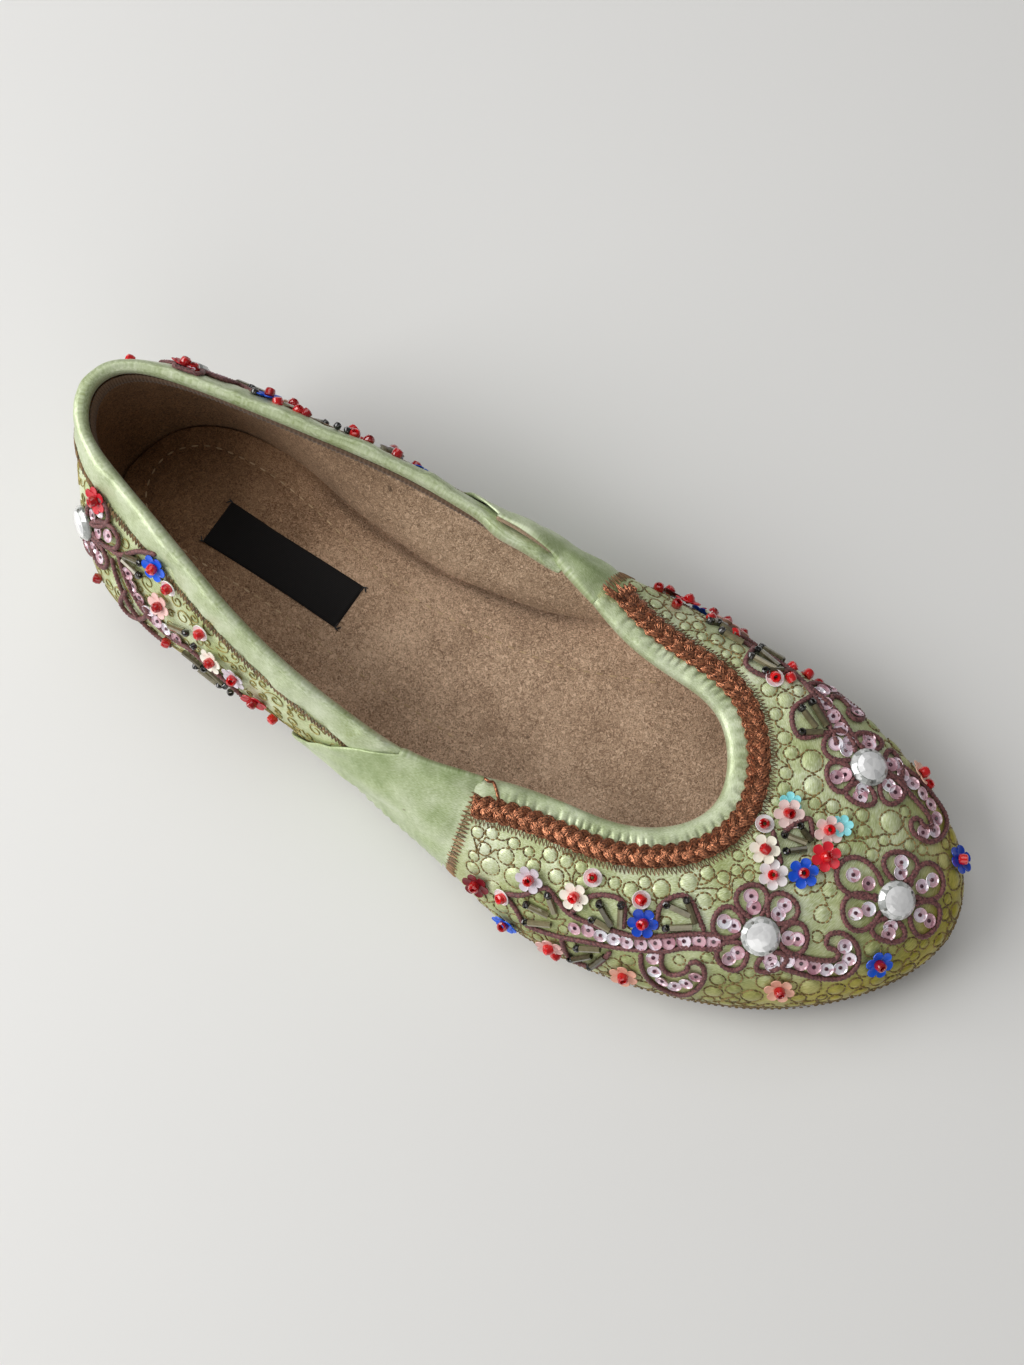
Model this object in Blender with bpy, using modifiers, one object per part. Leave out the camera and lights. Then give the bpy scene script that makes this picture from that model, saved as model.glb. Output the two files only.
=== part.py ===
"""A beaded ballet flat for the right foot: sole, low heel, insole, upper and two crossing side wings.

Metres, +X to the toe, +Y to the inner (medial) side of the foot, +Z up.
The origin is on the floor under the middle of the heel.
"""

import bmesh
import bpy
import numpy as np

# Driving dimensions of the last.
LENGTH = 0.244            # what the stations are fractions of, 2 mm more than the finished shoe
BALL_WIDTH = 0.090        # outside width across the ball of the foot
COLLAR_HEIGHT = 0.055     # floor to the top of the collar at the heel
HEEL_LIFT = 0.006         # thickness of the heel block
SOLE_THICK = 0.003
TOE_SPRING = 0.0035       # how far the sole lifts off the floor at the toe tip
UPPER_WALL = 0.0022       # satin, backing and suede lining together
INSOLE_THICK = 0.0034
WING_THICK = 0.0013
GAP = 0.0003              # clearance between pieces that touch
WING_GAP = 0.0004
INSOLE_INSET = 0.0009     # from the insole's edge to the wall's inner face
HEEL_INSET = 0.0022       # from the heel block's edge to the sole's
HEEL_TAPER = 0.03         # how much the heel block narrows towards the floor
OUTSOLE_RIM = 0.0007      # widths of the rounded rims
INSOLE_RIM = 0.0008
HEEL_RIM = 0.0006

# Places along the shoe, as fractions of its length from the heel back.
ORIGIN_AT = 0.13          # middle of the heel, straight above the origin
HEEL_BREAST_AT = 0.25     # front face of the heel block
SHANK_END_AT = 0.47       # where the sole comes down to the floor
TOE_LIFT_AT = 0.76        # where the toe spring begins

# How finely the forms are divided.
AROUND = 84
UP_THE_WALL = 12
WING_ALONG = 14
WING_UP = 8
SOLE_STATION = 0.008      # spacing of the cuts that let a flat plate bend
RIM_SEGMENTS = 2
SMOOTH_UNDER = 40         # degrees between faces that are shaded as one surface
FINE_STEP = 0.0005        # distances this short, and rises this small, give the wall's slopes
FINE_RISE = 0.004

# One row for each section of the upper, from the heel back to the toe tip.
# sole_at and top_at are fractions of LENGTH. The widths are fractions of
# BALL_WIDTH from the shoe's middle line, and top_up is a fraction of
# COLLAR_HEIGHT. The others bend the section, as fractions of BALL_WIDTH: how
# far the wall swells out and climbs as it leaves the sole, and how far it
# reaches out and drops as it leaves the topline.
SECTION_COLUMNS = (
    "sole_at", "sole_lateral", "sole_medial", "swell_lateral", "swell_medial", "climb",
    "top_at", "top_lateral", "top_medial", "top_up", "reach", "drop",
)
SECTIONS = (
    (0.012, 0.008, -0.008, 0.030, 0.030, 0.16, 0.018, -0.060, 0.060, 1.000, 0.030, 0.15),
    (0.030, 0.167, 0.165, 0.035, 0.035, 0.16, 0.036, 0.048, 0.158, 0.990, 0.050, 0.15),
    (0.082, 0.312, 0.270, 0.060, 0.035, 0.16, 0.082, 0.115, 0.210, 0.964, 0.080, 0.14),
    (0.164, 0.362, 0.298, 0.060, 0.030, 0.16, 0.164, 0.185, 0.256, 0.918, 0.080, 0.13),
    (0.246, 0.373, 0.308, 0.055, 0.030, 0.15, 0.246, 0.256, 0.300, 0.845, 0.065, 0.12),
    (0.328, 0.378, 0.330, 0.045, 0.030, 0.14, 0.328, 0.305, 0.339, 0.755, 0.050, 0.10),
    (0.418, 0.414, 0.342, 0.035, 0.030, 0.13, 0.410, 0.322, 0.350, 0.682, 0.060, 0.07),
    (0.525, 0.460, 0.400, 0.040, 0.035, 0.13, 0.492, 0.306, 0.350, 0.618, 0.090, 0.03),
    (0.632, 0.518, 0.458, 0.045, 0.045, 0.13, 0.574, 0.233, 0.278, 0.555, 0.150, -0.01),
    (0.788, 0.468, 0.424, 0.045, 0.045, 0.15, 0.656, 0.189, 0.248, 0.527, 0.240, -0.02),
    (0.930, 0.265, 0.345, 0.050, 0.050, 0.17, 0.717, 0.122, 0.200, 0.518, 0.320, -0.02),
    (0.998, -0.090, 0.090, 0.055, 0.055, 0.175, 0.750, -0.033, 0.033, 0.518, 0.360, -0.01),
)

# Each wing is a four-sided panel on the wall. Its corners are given in rows
# of SECTIONS, counted from the heel back: where its fold leaves the sole and
# reaches the topline, and where its front seam does. WING_FOOT is the rise of
# its lower edge, and WING_FOLD under 1 bows the fold up towards the heel.
WING_FOOT = 0.04
WING_FOLD = 0.85
WING_COLUMNS = ("side", "fold_at_sole", "fold_at_top", "seam_at_sole", "seam_at_top")
WINGS = (
    ("lateral", 5.05, 6.60, 7.25, 7.65),
    ("medial", 5.05, 6.95, 7.15, 7.62),
)


def smooth_step(value):
    """0 before 0, 1 after 1, and an even S-curve between."""
    value = np.clip(value, 0.0, 1.0)
    return value * value * (3.0 - 2.0 * value)


def sole_underside(x):
    """Height of the sole's underside: on the heel block, down the shank, on the floor, up to the toe."""
    at = x / LENGTH + ORIGIN_AT
    on_heel = HEEL_LIFT + GAP
    shank = 1.0 - smooth_step((at - HEEL_BREAST_AT) / (SHANK_END_AT - HEEL_BREAST_AT))
    toe = np.clip((at - TOE_LIFT_AT) / (1.0 - TOE_LIFT_AT), 0.0, 1.0)
    return on_heel * shank + TOE_SPRING * toe * toe


def section_rows():
    """The sections in order round the shoe: heel back, lateral side, toe tip, medial side."""
    lateral = [dict(zip(SECTION_COLUMNS, row)) for row in SECTIONS]
    rows = [(row, -1) for row in lateral]
    rows += [(row, 1) for row in reversed(lateral[1:-1])]
    sole = []
    top = []
    bends = []
    for row, side in rows:
        width = "medial" if side > 0 else "lateral"
        x = (row["sole_at"] - ORIGIN_AT) * LENGTH
        y = side * row["sole_" + width] * BALL_WIDTH
        sole.append((x, y, sole_underside(x) + SOLE_THICK + GAP))
        x = (row["top_at"] - ORIGIN_AT) * LENGTH
        y = side * row["top_" + width] * BALL_WIDTH
        top.append((x, y, row["top_up"] * COLLAR_HEIGHT))
        names = ("swell_" + width, "climb", "reach", "drop")
        bends.append([row[name] * BALL_WIDTH for name in names])
    return np.hstack([np.array(sole), np.array(top), np.array(bends)])


ROWS = section_rows()


def row_knots():
    """Distance round the shoe to each row, averaged over sole edge and topline, and back to the first."""
    after = np.roll(ROWS, -1, axis=0)
    at_sole = np.linalg.norm(after[:, 0:3] - ROWS[:, 0:3], axis=1)
    at_top = np.linalg.norm(after[:, 3:6] - ROWS[:, 3:6], axis=1)
    return np.concatenate([[0.0], np.cumsum((at_sole + at_top) / 2.0)])


KNOTS = row_knots()


def closed_curve(distance):
    """The section's numbers at a distance round the shoe, on the smooth closed cubic through all rows."""
    count = len(ROWS)
    step = np.diff(KNOTS)
    slope = (np.roll(ROWS, -1, axis=0) - ROWS) / step[:, None]
    matrix = np.zeros((count, count))
    for i in range(count):
        matrix[i, i - 1] += step[i - 1]
        matrix[i, i] += 2.0 * (step[i - 1] + step[i])
        matrix[i, (i + 1) % count] += step[i]
    bend = np.linalg.solve(matrix, 6.0 * (slope - np.roll(slope, 1, axis=0)))
    distance = np.mod(distance, KNOTS[-1])
    i = np.clip(np.searchsorted(KNOTS, distance, side="right") - 1, 0, count - 1)
    j = (i + 1) % count
    h = step[i][..., None]
    a = (KNOTS[i + 1] - distance)[..., None]
    b = (distance - KNOTS[i])[..., None]
    ends = (ROWS[i] / h - bend[i] * h / 6.0) * a + (ROWS[j] / h - bend[j] * h / 6.0) * b
    return ends + (bend[i] * a**3 + bend[j] * b**3) / (6.0 * h)


def plan_normal(distance, first):
    """Unit vector pointing out of the shoe in plan, square to the ring whose x column is first."""
    along = closed_curve(distance + FINE_STEP) - closed_curve(distance - FINE_STEP)
    flat = np.stack([along[..., first + 1], -along[..., first], np.zeros_like(distance)], axis=-1)
    # The ring runs heel, lateral side, toe, medial side, so its left hand is the inside.
    return flat / np.linalg.norm(flat, axis=-1, keepdims=True)


def wall_point(distance, rise):
    """A point of the upper's outside: rise is 0 at the sole's edge and 1 at the topline."""
    distance, rise = np.broadcast_arrays(distance, rise)
    values = closed_curve(distance)
    up = np.array([0.0, 0.0, 1.0])
    sole = values[..., 0:3].copy()
    sole[..., 2] = sole_underside(sole[..., 0]) + SOLE_THICK + GAP
    top = values[..., 3:6]
    leave_sole = sole + plan_normal(distance, 0) * values[..., 6:7] + up * values[..., 7:8]
    reach_top = top + plan_normal(distance, 3) * values[..., 8:9] - up * values[..., 9:10]
    t = rise[..., None]
    return (
        (1 - t) ** 3 * sole
        + 3 * (1 - t) ** 2 * t * leave_sole
        + 3 * (1 - t) * t**2 * reach_top
        + t**3 * top
    )


def upper_form(distance, rise, proud=0.0):
    """The upper's own form, or one that stands proud of it by that much all over."""
    point = wall_point(distance, rise)
    if not proud:
        return point
    along = wall_point(distance + FINE_STEP, rise) - wall_point(distance - FINE_STEP, rise)
    low = np.clip(rise - FINE_RISE, 0.0, 1.0)
    high = np.clip(rise + FINE_RISE, 0.0, 1.0)
    upward = wall_point(distance, high) - wall_point(distance, low)
    normal = np.cross(along, upward)
    normal /= np.linalg.norm(normal, axis=-1, keepdims=True)
    return point + proud * normal


def row_distance(row, side):
    """Distance round the shoe to a row number, which may lie between two rows, on one side."""
    last = len(SECTIONS) - 1
    place = row if side == "lateral" else 2 * last - row
    return np.interp(place, np.arange(len(KNOTS)), KNOTS)


def sole_outline(inset):
    """The sole's outline in plan, moved in by inset."""
    distance = np.arange(AROUND) * KNOTS[-1] / AROUND
    ring = closed_curve(distance)[:, 0:3] - inset * plan_normal(distance, 0)
    return ring[:, 0:2]


def material(name, colour, roughness, metallic=0.0):
    made = bpy.data.materials.new(name)
    made.use_nodes = True
    shader = made.node_tree.nodes["Principled BSDF"]
    shader.inputs["Base Color"].default_value = (*colour, 1.0)
    shader.inputs["Roughness"].default_value = roughness
    shader.inputs["Metallic"].default_value = metallic
    return made


def add_object(name, mesh, collection, finish):
    made = bpy.data.objects.new(name, mesh)
    collection.objects.link(made)
    mesh.materials.append(finish)
    mesh.shade_smooth()
    mesh.set_sharp_from_angle(angle=np.radians(SMOOTH_UNDER))
    return made


def grid_mesh(name, points, closed):
    """Quads over a grid of points. closed joins the last column to the first."""
    columns, rises = points.shape[:2]
    shape = bmesh.new()
    verts = [[shape.verts.new(point) for point in column] for column in points]
    for i in range(columns if closed else columns - 1):
        here = verts[i]
        after = verts[(i + 1) % columns]
        for j in range(rises - 1):
            shape.faces.new((here[j], after[j], after[j + 1], here[j + 1]))
    mesh = bpy.data.meshes.new(name)
    shape.to_mesh(mesh)
    shape.free()
    return mesh


def add_wall(made, thickness, offset):
    """Gives an open surface its wall: offset -1 grows it inwards and 1 outwards."""
    wall = made.modifiers.new("wall", "SOLIDIFY")
    wall.thickness = thickness
    wall.offset = offset
    wall.use_even_offset = True
    wall.use_quality_normals = True


def plate(name, outline, low, high, rim, front=None, taper=0.0, bend=True):
    """A plate of this outline from low to high, cut straight across at front, its foot tapered, then bent."""
    shape = bmesh.new()
    base = shape.faces.new([shape.verts.new((x, y, low)) for x, y in outline])
    if front is not None:
        whole = shape.verts[:] + shape.edges[:] + [base]
        bmesh.ops.bisect_plane(
            shape, geom=whole, dist=1e-7, plane_co=(front, 0, 0), plane_no=(1, 0, 0), clear_outer=True
        )
    foot = shape.verts[:]
    grown = bmesh.ops.extrude_face_region(shape, geom=shape.faces[:])
    lid = [item for item in grown["geom"] if isinstance(item, bmesh.types.BMVert)]
    bmesh.ops.translate(shape, vec=(0.0, 0.0, high - low), verts=lid)
    middle = np.mean(outline, axis=0)
    for vert in foot:
        vert.co.x += (middle[0] - vert.co.x) * taper
        vert.co.y += (middle[1] - vert.co.y) * taper
    bmesh.ops.recalc_face_normals(shape, faces=shape.faces)
    edges = [edge for edge in shape.edges if abs(edge.verts[0].co.z - edge.verts[1].co.z) < rim / 10]
    bmesh.ops.bevel(
        shape, geom=edges, offset=rim, segments=RIM_SEGMENTS, profile=0.5, affect="EDGES", material=-1
    )
    if bend:
        first = min(vert.co.x for vert in shape.verts)
        last = max(vert.co.x for vert in shape.verts)
        for x in np.arange(first + SOLE_STATION / 2, last, SOLE_STATION):
            whole = shape.verts[:] + shape.edges[:] + shape.faces[:]
            bmesh.ops.bisect_plane(shape, geom=whole, dist=1e-7, plane_co=(x, 0, 0), plane_no=(1, 0, 0))
        for vert in shape.verts:
            vert.co.z += float(sole_underside(vert.co.x))
    bmesh.ops.triangulate(shape, faces=shape.faces)
    mesh = bpy.data.meshes.new(name)
    shape.to_mesh(mesh)
    shape.free()
    return mesh


def add_outsole(collection):
    """Thin rubber sole, cut just inside the upper's lower edge."""
    mesh = plate("outsole", sole_outline(GAP), 0.0, SOLE_THICK, OUTSOLE_RIM)
    add_object("outsole", mesh, collection, material("outsole_rubber", (0.20, 0.13, 0.085), 0.75))


def add_heel(collection):
    """Low heel block under the heel seat, with a straight front face."""
    breast = (HEEL_BREAST_AT - ORIGIN_AT) * LENGTH
    outline = sole_outline(HEEL_INSET)
    mesh = plate("heel", outline, 0.0, HEEL_LIFT, HEEL_RIM, front=breast, taper=HEEL_TAPER, bend=False)
    add_object("heel", mesh, collection, material("heel_rubber", (0.16, 0.10, 0.065), 0.7))


def add_insole(collection):
    """Padded insole inside the upper, lying on the sole."""
    low = SOLE_THICK + GAP
    mesh = plate("insole", sole_outline(UPPER_WALL + INSOLE_INSET), low, low + INSOLE_THICK, INSOLE_RIM)
    add_object("insole", mesh, collection, material("insole_suede", (0.36, 0.24, 0.165), 0.95))


def add_upper(collection):
    """Vamp and quarter as one hollow wall, open at the collar and throat above and to the sole below."""
    distance = np.arange(AROUND)[:, None] * KNOTS[-1] / AROUND
    rise = np.linspace(0.0, 1.0, UP_THE_WALL + 1)[None, :]
    mesh = grid_mesh("upper", upper_form(distance, rise), closed=True)
    made = add_object("upper", mesh, collection, material("upper_satin", (0.47, 0.60, 0.24), 0.45))
    add_wall(made, UPPER_WALL, -1.0)


def add_wing(collection, side, fold_at_sole, fold_at_top, seam_at_sole, seam_at_top):
    """Satin side wing: it springs from the vamp panel's seam and crosses over the quarter to a fold."""
    up = np.linspace(0.0, 1.0, WING_UP + 1)[None, :]
    along = np.linspace(0.0, 1.0, WING_ALONG + 1)[:, None]
    rise = WING_FOOT + (1.0 - WING_FOOT) * up**WING_FOLD
    fold = fold_at_sole + (fold_at_top - fold_at_sole) * up
    seam = seam_at_sole + (seam_at_top - seam_at_sole) * up
    row = fold + (seam - fold) * along
    distance = row_distance(row, side)
    points = upper_form(distance, rise, WING_GAP)
    if side == "medial":
        points = points[::-1]
    name = "wing_" + side
    mesh = grid_mesh(name, points, closed=False)
    made = add_object(name, mesh, collection, material(name + "_satin", (0.50, 0.64, 0.30), 0.4))
    add_wall(made, WING_THICK, 1.0)


def build():
    for old in list(bpy.data.objects):
        bpy.data.objects.remove(old)
    shoe = bpy.data.collections.new("beaded_ballet_flat")
    bpy.context.scene.collection.children.link(shoe)
    add_outsole(shoe)
    add_heel(shoe)
    add_insole(shoe)
    add_upper(shoe)
    for row in WINGS:
        add_wing(shoe, **dict(zip(WING_COLUMNS, row)))


build()
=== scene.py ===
"""Looks of a beaded ballet flat for the right foot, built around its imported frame. Metres, +X to the toe."""

import math

import bmesh
import bpy
import numpy as np
from mathutils import Euler, Matrix, Vector
from mathutils.bvhtree import BVHTree
from mathutils.kdtree import KDTree


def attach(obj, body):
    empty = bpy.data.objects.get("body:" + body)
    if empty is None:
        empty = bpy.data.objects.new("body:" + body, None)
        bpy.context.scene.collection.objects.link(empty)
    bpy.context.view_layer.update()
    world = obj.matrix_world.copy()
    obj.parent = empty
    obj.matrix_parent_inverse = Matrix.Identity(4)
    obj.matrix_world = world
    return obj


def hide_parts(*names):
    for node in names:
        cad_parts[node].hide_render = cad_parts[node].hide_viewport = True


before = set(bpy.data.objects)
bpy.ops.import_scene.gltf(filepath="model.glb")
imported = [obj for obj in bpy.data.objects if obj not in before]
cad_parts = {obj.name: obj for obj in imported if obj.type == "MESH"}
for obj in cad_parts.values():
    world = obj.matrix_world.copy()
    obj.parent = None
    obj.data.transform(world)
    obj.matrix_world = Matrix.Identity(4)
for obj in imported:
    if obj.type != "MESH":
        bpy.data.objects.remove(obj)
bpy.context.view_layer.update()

MM = 0.001


# ------------------------ Camera
# The shoe is looked down on from beyond its outer side, close enough that the
# near side shows, and it lies across the frame with its toe to the lower right.
CAMERA_AT = (0.1669, -0.0597, 0.3833)
CAMERA_FROM_STRAIGHT_DOWN = math.radians(16.8)
CAMERA_TURN = math.radians(31.2)
CAMERA_PAN = math.radians(4.8)      # then swung to bring the shoe to the middle
CAMERA_DIP = math.radians(-2.7)
CAMERA_LENS = 40.5


def add_object(name, data):
    """A new object of this data, put into the scene."""
    made = bpy.data.objects.new(name, data)
    bpy.context.scene.collection.objects.link(made)
    return made


camera = add_object("camera", bpy.data.cameras.new("camera"))
camera.data.lens = CAMERA_LENS
camera.data.clip_start = 0.01
facing = Euler((CAMERA_FROM_STRAIGHT_DOWN, 0.0, CAMERA_TURN)).to_matrix()
swing = Euler((0.0, CAMERA_PAN, 0.0)).to_matrix() @ Euler((CAMERA_DIP, 0.0, 0.0)).to_matrix()
camera.matrix_world = Matrix.Translation(CAMERA_AT) @ (facing @ swing).to_4x4()
bpy.context.scene.camera = camera
bpy.context.scene.view_settings.view_transform = "Standard"


# ------------------------ Floor and light
# A smooth warm-white painted table in a pale room. Daylight comes low from a large
# window past the outer side of the heel, with weaker windows behind and in front.
FLOOR_WIDE = 6.0
FLOOR_TONE = (0.80, 0.795, 0.78)
FLOOR_CLOUDED = 0.975       # its tone in the darker clouds
WINDOWS = (
    # name, place, width, watts, tint
    ("window", (-0.717, -0.485, 0.680), 0.90, 12.4, (1.0, 0.995, 0.985)),
    ("far_window", (-0.188, 0.463, 1.035), 0.90, 3.3, (1.0, 1.0, 1.0)),
    ("near_window", (0.575, -0.807, 0.680), 0.90, 2.8, (1.0, 0.99, 0.97)),
)
WINDOWS_FACE = (0.09, 0.0, 0.02)    # the middle of the shoe
ROOM_TONE = (1.0, 1.0, 1.0)
ROOM_LIGHT = 0.15


def new_finish(name, constants):
    """A new node material with these constants on its shader: the material, its tree and its shader."""
    made = bpy.data.materials.new(name)
    made.use_nodes = True
    tree = made.node_tree
    shader = tree.nodes["Principled BSDF"]
    for socket, value in constants.items():
        shader.inputs[socket].default_value = value
    return made, tree, shader


def add_node(tree, kind, inputs=None, **settings):
    """A shader node of this kind with these settings and these unlinked input values."""
    made = tree.nodes.new("ShaderNode" + kind)
    for name, value in settings.items():
        setattr(made, name, value)
    for name, value in (inputs or {}).items():
        made.inputs[name].default_value = value
    return made


def add_ramp(tree, stops):
    """A colour ramp with these (place, colour) stops."""
    made = add_node(tree, "ValToRGB")
    ramp = made.color_ramp
    while len(ramp.elements) < len(stops):
        ramp.elements.new(0.5)
    for element, (place, colour) in zip(ramp.elements, stops):
        element.position = place
        element.color = (*colour, 1.0)
    return made


def mesh_from(shape, name):
    """The finished shape as a mesh of this name."""
    mesh = bpy.data.meshes.new(name)
    shape.to_mesh(mesh)
    shape.free()
    return mesh


def wire(tree, *runs):
    """Links, each given as (node, its output, node, its input)."""
    for start, out, end, into in runs:
        tree.links.new(start.outputs[out], end.inputs[into])


floor_shape = bmesh.new()
bmesh.ops.create_grid(floor_shape, x_segments=8, y_segments=8, size=FLOOR_WIDE / 2)
floor = add_object("floor", mesh_from(floor_shape, "floor"))
paint, tree, shader = new_finish("table_paint", {"Roughness": 0.55})
place = add_node(tree, "TexCoord")
cloud = add_node(tree, "TexNoise", {"Scale": 3.0, "Detail": 3.0})
tone = add_ramp(tree, ((0.3, tuple(c * FLOOR_CLOUDED for c in FLOOR_TONE)), (0.7, FLOOR_TONE)))
wire(
    tree, (place, "Object", cloud, "Vector"), (cloud, "Fac", tone, "Fac"),
    (tone, "Color", shader, "Base Color"),
)
floor.data.materials.append(paint)

for name, at, wide, watts, tint in WINDOWS:
    lamp = add_object(name, bpy.data.lights.new(name, "AREA"))
    lamp.data.size = wide
    lamp.data.energy = watts
    lamp.data.color = tint
    lamp.location = at
    lamp.rotation_euler = (Vector(WINDOWS_FACE) - Vector(at)).to_track_quat("-Z", "Y").to_euler()
room = bpy.data.worlds.new("room")
room.use_nodes = True
glow = room.node_tree.nodes["Background"]
glow.inputs["Color"].default_value = (*ROOM_TONE, 1.0)
glow.inputs["Strength"].default_value = ROOM_LIGHT
bpy.context.scene.world = room


# ------------------------ Lining
# Thin taupe suede glued inside the upper. It is lasted with the upper, so it is
# the last's own form, moved in by the wall, and it slopes in at the arch.
LENGTH = 0.244
BALL_WIDTH = 0.090
COLLAR_HEIGHT = 0.055
HEEL_LIFT = 0.006
SOLE_THICK = 0.003
TOE_SPRING = 0.0035
UPPER_WALL = 0.0022
GAP = 0.0003
ORIGIN_AT = 0.13
HEEL_BREAST_AT = 0.25
SHANK_END_AT = 0.47
TOE_LIFT_AT = 0.76
FINE_STEP = 0.0005
FINE_RISE = 0.004
SECTION_COLUMNS = (
    "sole_at", "sole_lateral", "sole_medial", "swell_lateral", "swell_medial", "climb",
    "top_at", "top_lateral", "top_medial", "top_up", "reach", "drop",
)
SECTIONS = (
    (0.012, 0.008, -0.008, 0.030, 0.030, 0.16, 0.018, -0.060, 0.060, 1.000, 0.030, 0.15),
    (0.030, 0.167, 0.165, 0.035, 0.035, 0.16, 0.036, 0.048, 0.158, 0.990, 0.050, 0.15),
    (0.082, 0.312, 0.270, 0.060, 0.035, 0.16, 0.082, 0.115, 0.210, 0.964, 0.080, 0.14),
    (0.164, 0.362, 0.298, 0.060, 0.030, 0.16, 0.164, 0.185, 0.256, 0.918, 0.080, 0.13),
    (0.246, 0.373, 0.308, 0.055, 0.030, 0.15, 0.246, 0.256, 0.300, 0.845, 0.065, 0.12),
    (0.328, 0.378, 0.330, 0.045, 0.030, 0.14, 0.328, 0.305, 0.339, 0.755, 0.050, 0.10),
    (0.418, 0.414, 0.342, 0.035, 0.030, 0.13, 0.410, 0.322, 0.350, 0.682, 0.060, 0.07),
    (0.525, 0.460, 0.400, 0.040, 0.035, 0.13, 0.492, 0.306, 0.350, 0.618, 0.090, 0.03),
    (0.632, 0.518, 0.458, 0.045, 0.045, 0.13, 0.574, 0.233, 0.278, 0.555, 0.150, -0.01),
    (0.788, 0.461, 0.424, 0.022, 0.026, 0.15, 0.656, 0.189, 0.248, 0.527, 0.240, -0.02),
    (0.930, 0.254, 0.345, 0.022, 0.026, 0.17, 0.717, 0.122, 0.200, 0.518, 0.320, -0.02),
    (0.998, -0.090, 0.090, 0.032, 0.032, 0.175, 0.750, -0.033, 0.033, 0.518, 0.360, -0.01),
)


def unit(vectors):
    """These vectors at length one."""
    return vectors / np.linalg.norm(vectors, axis=-1, keepdims=True)


TURN = 2 * math.pi


def ease(value):
    """0 below 0, 1 above 1 and an easy slope between."""
    value = np.clip(value, 0.0, 1.0)
    return value * value * (3.0 - 2.0 * value)


def sole_underside(x):
    """Height of the sole's underside: on the heel block, down the shank, on the floor, up to the toe."""
    at = x / LENGTH + ORIGIN_AT
    shank = 1.0 - ease((at - HEEL_BREAST_AT) / (SHANK_END_AT - HEEL_BREAST_AT))
    toe = np.clip((at - TOE_LIFT_AT) / (1.0 - TOE_LIFT_AT), 0.0, 1.0)
    return (HEEL_LIFT + GAP) * shank + TOE_SPRING * toe * toe


def section_rows():
    """The sections in order round the shoe: heel back, lateral side, toe tip, medial side."""
    table = [dict(zip(SECTION_COLUMNS, row)) for row in SECTIONS]
    rows = [(row, -1, "lateral") for row in table]
    rows += [(row, 1, "medial") for row in reversed(table[1:-1])]
    numbers = []
    for row, side, width in rows:
        x = (row["sole_at"] - ORIGIN_AT) * LENGTH
        sole = (x, side * row["sole_" + width] * BALL_WIDTH, sole_underside(x) + SOLE_THICK + GAP)
        x = (row["top_at"] - ORIGIN_AT) * LENGTH
        top = (x, side * row["top_" + width] * BALL_WIDTH, row["top_up"] * COLLAR_HEIGHT)
        bends = [row[name] * BALL_WIDTH for name in ("swell_" + width, "climb", "reach", "drop")]
        numbers.append((*sole, *top, *bends))
    return np.array(numbers)


ROWS = section_rows()
AFTER = np.roll(ROWS, -1, axis=0)
STEPS = (
    np.linalg.norm(AFTER[:, 0:3] - ROWS[:, 0:3], axis=1)
    + np.linalg.norm(AFTER[:, 3:6] - ROWS[:, 3:6], axis=1)
) / 2.0
KNOTS = np.concatenate([[0.0], np.cumsum(STEPS)])
ALL_ROUND = KNOTS[-1]


def curve_bends():
    """Second derivatives of the closed cubic through the rows."""
    count = len(ROWS)
    slope = (AFTER - ROWS) / STEPS[:, None]
    matrix = np.zeros((count, count))
    for i in range(count):
        matrix[i, i - 1] += STEPS[i - 1]
        matrix[i, i] += 2.0 * (STEPS[i - 1] + STEPS[i])
        matrix[i, (i + 1) % count] += STEPS[i]
    return np.linalg.solve(matrix, 6.0 * (slope - np.roll(slope, 1, axis=0)))


BENDS = curve_bends()


def closed_curve(distance):
    """The section's numbers at a distance round the shoe."""
    count = len(ROWS)
    distance = np.mod(distance, ALL_ROUND)
    i = np.clip(np.searchsorted(KNOTS, distance, side="right") - 1, 0, count - 1)
    j = (i + 1) % count
    h = STEPS[i][..., None]
    a = (KNOTS[i + 1] - distance)[..., None]
    b = (distance - KNOTS[i])[..., None]
    ends = (ROWS[i] / h - BENDS[i] * h / 6.0) * a + (ROWS[j] / h - BENDS[j] * h / 6.0) * b
    return ends + (BENDS[i] * a**3 + BENDS[j] * b**3) / (6.0 * h)


def plan_normal(distance, first):
    """Unit vector out of the shoe in plan: first is 0 for the sole's ring and 3 for the topline's."""
    along = closed_curve(distance + FINE_STEP) - closed_curve(distance - FINE_STEP)
    return unit(np.stack([along[..., first + 1], -along[..., first], np.zeros_like(distance)], axis=-1))


UP = np.array([0.0, 0.0, 1.0])


def wall_point(distance, rise):
    """A point of the upper's outside: rise is 0 at the sole's edge and 1 at the topline."""
    distance, rise = np.broadcast_arrays(np.asarray(distance, float), rise)
    values = closed_curve(distance)
    sole = values[..., 0:3].copy()
    sole[..., 2] = sole_underside(sole[..., 0]) + SOLE_THICK + GAP
    top = values[..., 3:6]
    leave_sole = sole + plan_normal(distance, 0) * values[..., 6:7] + UP * values[..., 7:8]
    reach_top = top + plan_normal(distance, 3) * values[..., 8:9] - UP * values[..., 9:10]
    t = rise[..., None]
    return (
        (1 - t) ** 3 * sole
        + 3 * (1 - t) ** 2 * t * leave_sole
        + 3 * (1 - t) * t**2 * reach_top
        + t**3 * top
    )


def wall_normal(distance, rise):
    """The upper's outward normal at such a point."""
    along = wall_point(distance + FINE_STEP, rise) - wall_point(distance - FINE_STEP, rise)
    upward = wall_point(distance, rise + FINE_RISE) - wall_point(distance, rise - FINE_RISE)
    return unit(np.cross(along, upward))


# How far down the wall each rise lies, so that trims can be placed by tape measure from the topline.
GAUGE_COLUMNS = 440
GAUGE_STEP = 0.5 * MM
GAUGE_ABOVE = 4 * MM
GAUGE_DEPTH = 90 * MM
GAUGE_RISES = np.linspace(1.2, -0.25, 117)


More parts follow.
